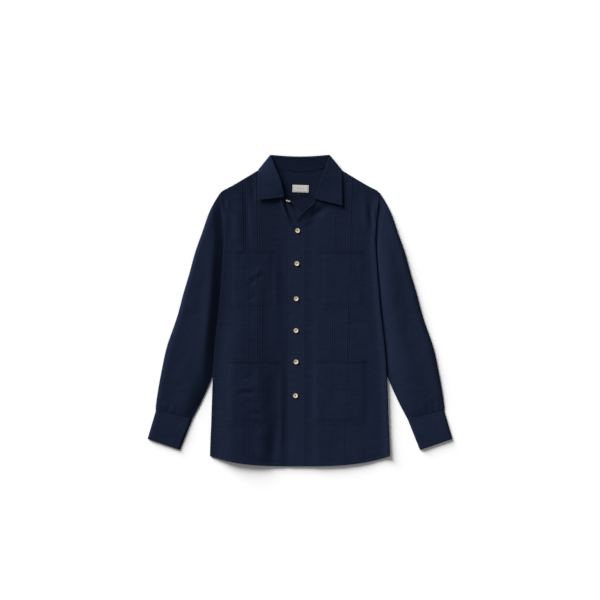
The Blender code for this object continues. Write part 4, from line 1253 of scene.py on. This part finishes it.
def label_material(name, groups):
    """Pale grey damask with a woven frame and a row of three small diamonds."""
    material, tree, shader = new_material(name, 0.7)
    flat = tree.nodes.new("ShaderNodeUVMap").outputs["UV"]
    split = tree.nodes.new("ShaderNodeSeparateXYZ")
    tree.links.new(flat, split.inputs[0])
    x = math_node(tree, "DIVIDE", split.outputs["X"], MM)
    y = math_node(tree, "DIVIDE", split.outputs["Y"], MM)
    off_x, off_y = math_node(tree, "ABSOLUTE", x), math_node(tree, "ABSOLUTE", y)
    reach_x = math_node(tree, "SUBTRACT", 0.5 * LABEL_SIZE[0] - LABEL_FRAME, off_x)
    reach_y = math_node(tree, "SUBTRACT", 0.5 * LABEL_SIZE[1] - LABEL_FRAME, off_y)
    inside = math_node(tree, "MINIMUM", reach_x, reach_y)
    frame_line = math_node(tree, "LESS_THAN", math_node(tree, "ABSOLUTE", inside), LABEL_LINE)
    shifted = math_node(tree, "ADD", x, DIAMOND_HALF_PITCH)
    cell = math_node(tree, "PINGPONG", shifted, DIAMOND_HALF_PITCH)
    across = math_node(tree, "SUBTRACT", DIAMOND_HALF_PITCH, cell)
    diamond = math_node(tree, "ADD", across, off_y)
    solid = math_node(tree, "LESS_THAN", diamond, DIAMOND_SIZE)
    core = math_node(tree, "GREATER_THAN", diamond, DIAMOND_CORE)
    row_end = math_node(tree, "LESS_THAN", off_x, LABEL_ROW_END)
    motif = math_node(tree, "MULTIPLY", math_node(tree, "MULTIPLY", solid, core), row_end)
    mark = math_node(tree, "MAXIMUM", frame_line, motif)
    weave = place_group(tree, groups["weave"], Vector=flat, Threads_per_metre=LABEL_THREADS)
    height = weave.outputs["Height"]
    shade = colour_mix(tree, height, tint(LABEL_GREY, 0.80), tint(LABEL_GREY, 1.10))
    marked = colour_mix(tree, math_node(tree, "MULTIPLY", mark, 0.75), shade, LABEL_INK)
    tree.links.new(marked, shader.inputs["Base Color"])
    tree.links.new(ranged(tree, height, 0.0, 1.0, 0.8, 0.6), shader.inputs["Roughness"])
    bump_chain(tree, shader, ((mark, 0.4, 0.12), (height, 0.5, 0.12)))
    return material


def buttonhole_lines(points):
    """Both sides of each buttonhole on the band's surface: six closed and the open top one."""
    places = points.reshape(-1, 3)
    holes = []
    for number in range(2, 8):
        low, high = (np.array(corner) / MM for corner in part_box("button_%d" % number))
        holes.append((0.5 * (low + high)[:2], np.array((0.0, 1.0))))
    low, high = points[OPEN_HOLE_ROWS, OPEN_HOLE_COLUMN, :2]
    holes.append((0.5 * (low + high), (high - low) / math.dist(low, high)))
    lines = []
    for centre, along in holes:
        aside = HOLE_SIDE * np.array((-along[1], along[0]))
        for middle in (centre - aside, centre + aside):
            line = []
            for reach in np.linspace(-HOLE_REACH, HOLE_REACH, 9):
                place = middle + reach * along
                nearest = np.argmin(np.hypot(*(places[:, :2] - place).T))
                line.append((*place, places[nearest, 2]))
            lines.append(np.array(line))
    return lines


def make_body(linens, thread):
    """The back, the fronts and their bands, with the stitches on them."""
    points = back_points()
    piece = make_panel("back_panel", points)
    finish_cloth(piece, linens["inside"], "back")
    seam = inset_line(points, "top", NECK_STITCH)
    sew("neck_stitching", [seam[np.abs(seam[:, 0]) < NECK_SEAM_HALF]], thread)

    hems, edges = [], []
    for side, front in (("left", LEFT), ("right", RIGHT)):
        points = front.panel()
        piece = make_panel(side + "_front_panel", points)
        finish_cloth(piece, linens[side], side + "_front")
        hems.append(inset_line(points, "bottom", HEM_STITCH))
        edges.append(inset_line(points, "top", SHOULDER_STITCH, 4.0))
    for name, front, node, lip, width, under in (
            ("buttonhole_placket", LEFT, "buttonhole_band", 0.6, 0.045, "button_placket"),
            ("button_placket", RIGHT, "button_band", 0.3, 0.042, "back_panel")):
        points = front.band(lip)
        piece = make_panel(name, points)
        finish_cloth(piece, linens["placket"], node)
        hems.append(inset_line(points, "bottom", HEM_STITCH, 1.0))
        edges += [inset_line(points, edge, BAND_STITCH, 3.0) for edge in ("first", "last")]
        if front is LEFT:
            sew("buttonhole_stitching", buttonhole_lines(points), thread, pitch=0.7,
                size=HOLE_STITCH, lift=0.08)
    sew("hem_stitching", hems, thread)
    sew("placket_stitching", edges, thread)


def make_pockets(linens, thread):
    """Four patch pockets, sewn to the fronts on three sides."""
    edges = []
    for name, sizes in POCKETS.items():
        front = LEFT if sizes[0] > 0.0 else RIGHT
        side = name.split("_")[0]
        points = front.pocket(*sizes)
        piece = make_panel(name + "_cloth", points)
        finish_cloth(piece, linens[side], name)
        edges += [inset_line(points, edge, POCKET_STITCH, POCKET_STITCH)
                  for edge in ("first", "last", "bottom")]
        edges.append(inset_line(points, "top", POCKET_HEM, 2.0))
    sew("pocket_stitching", edges, thread)


def make_sleeves(linens, thread):
    """Both sleeves and their cuffs, flattened tubes beside the body."""
    edges = []
    for side, sign, ramp, has_valley in (("left", 1.0, LEFT_RAMP, False),
                                         ("right", -1.0, RIGHT_RAMP, True)):
        points, flats = ring_points(SLEEVE_RINGS, sign, SLEEVE_ROWS, ramp, True, has_valley)
        piece = make_tube(side + "_sleeve_cloth", points, flats)
        finish_cloth(piece, linens[side + "_sleeve"], side + "_sleeve")
        points, flats = ring_points(CUFF_RINGS, sign, CUFF_ROWS, CUFF_RAMP)
        piece = make_tube(side + "_cuff_cloth", points, flats)
        finish_cloth(piece, linens[side + "_cuff"], side + "_cuff")
        edges += [inset_line(points[:, 3:50], edge, CUFF_STITCH) for edge in ("bottom", "top")]
    sew("cuff_stitching", edges, thread)


def make_collar(linens, thread):
    """The folded leaf with its two points, and the stand inside the neck."""
    points, flats = leaf_points()
    piece = make_panel("collar_leaf_cloth", points, COLLAR_CLOTH, flats)
    finish_cloth(piece, linens["collar"], "collar_leaf")
    outer = inset_line(points, "last", LEAF_STITCH)
    shown = [outer[(outer[:, 0] * sign > 0.0) & (outer[:, 2] > 5.0)] for sign in (1.0, -1.0)]
    trimmed = [line[2:] if abs(line[0][1]) < abs(line[-1][1]) else line[:-2] for line in shown]
    ends = [inset_line(points, edge, LEAF_STITCH, LEAF_STITCH) for edge in ("bottom", "top")]
    sew("collar_stitching", trimmed + ends, thread)
    points = stand_points()
    piece = make_panel("collar_stand_cloth", points, COLLAR_CLOTH)
    finish_cloth(piece, linens["inside"], "collar_stand")
    sew("stand_stitching", [inset_line(points, "first", STAND_STITCH, 6.0)], thread)


def make_stage():
    """Pale floor, one broad soft light from the upper left and a weak even sky."""
    deselect()
    bpy.ops.mesh.primitive_plane_add(size=FLOOR_SIZE, location=(0.0, 0.0, FLOOR_Z))
    floor = bpy.context.object
    floor.name = "floor"
    material, _, shader = new_material("white_floor", 1.0)
    shader.inputs["Base Color"].default_value = (FLOOR_WHITE, FLOOR_WHITE, FLOOR_WHITE, 1.0)
    shader.inputs["Specular IOR Level"].default_value = 0.0
    floor.data.materials.append(material)
    world = bpy.data.worlds.new("studio")
    world.use_nodes = True
    sky = world.node_tree.nodes["Background"]
    sky.inputs["Color"].default_value = (1.0, 1.0, 1.0, 1.0)
    sky.inputs["Strength"].default_value = SKY_STRENGTH
    bpy.context.scene.world = world
    deselect()
    bpy.ops.object.light_add(type="SUN", location=(0.0, 0.0, 2.0))
    key = bpy.context.object
    key.name = "key_light"
    key.data.energy = KEY_STRENGTH
    key.data.angle = math.radians(KEY_SPREAD)
    turn, rise = math.radians(KEY_TURN), math.radians(KEY_RISE)
    towards = Vector((math.cos(rise) * math.cos(turn), math.cos(rise) * math.sin(turn),
                      math.sin(rise)))
    key.rotation_euler = towards.to_track_quat("Z", "Y").to_euler()
    scene = bpy.context.scene
    scene.view_settings.view_transform = "Standard"
    scene.view_settings.look = "None"
    lens = bpy.data.cameras.new("camera")
    lens.lens = LENS
    camera = bpy.data.objects.new("camera", lens)
    scene.collection.objects.link(camera)
    camera.location = (0.0, CAMERA_Y, FIELD * LENS / lens.sensor_width)
    scene.camera = camera


def make_shirt():
    """Every finish, and then every piece of the shirt from the back up."""
    groups = {"weave": weave_group(), "slubs": slub_group(), "wear": wear_group()}
    # Lit and shaded copies of one navy linen, one for each part, each with its painted light or
    # shade
    linens = {name: linen_material("navy_linen_" + name, tint(NAVY, factor), groups)
              for name, factor in LINEN_PAINTED_LIGHT_AND_SHADE.items()}
    thread = thread_material("navy_thread", tint(NAVY, THREAD_TINT))
    make_body(linens, thread)
    make_pockets(linens, thread)
    make_sleeves(linens, thread)
    make_collar(linens, thread)
    make_buttons(button_material("cream_shell"), thread)
    label_seams = make_label(label_material("woven_grey", groups))
    label_thread = thread_material("grey_thread", tint(LABEL_GREY, THREAD_TINT))
    sew("label_stitching", label_seams, label_thread, pitch=2.2,
        size=LABEL_THREAD, lift=0.04)


make_stage()
make_shirt()
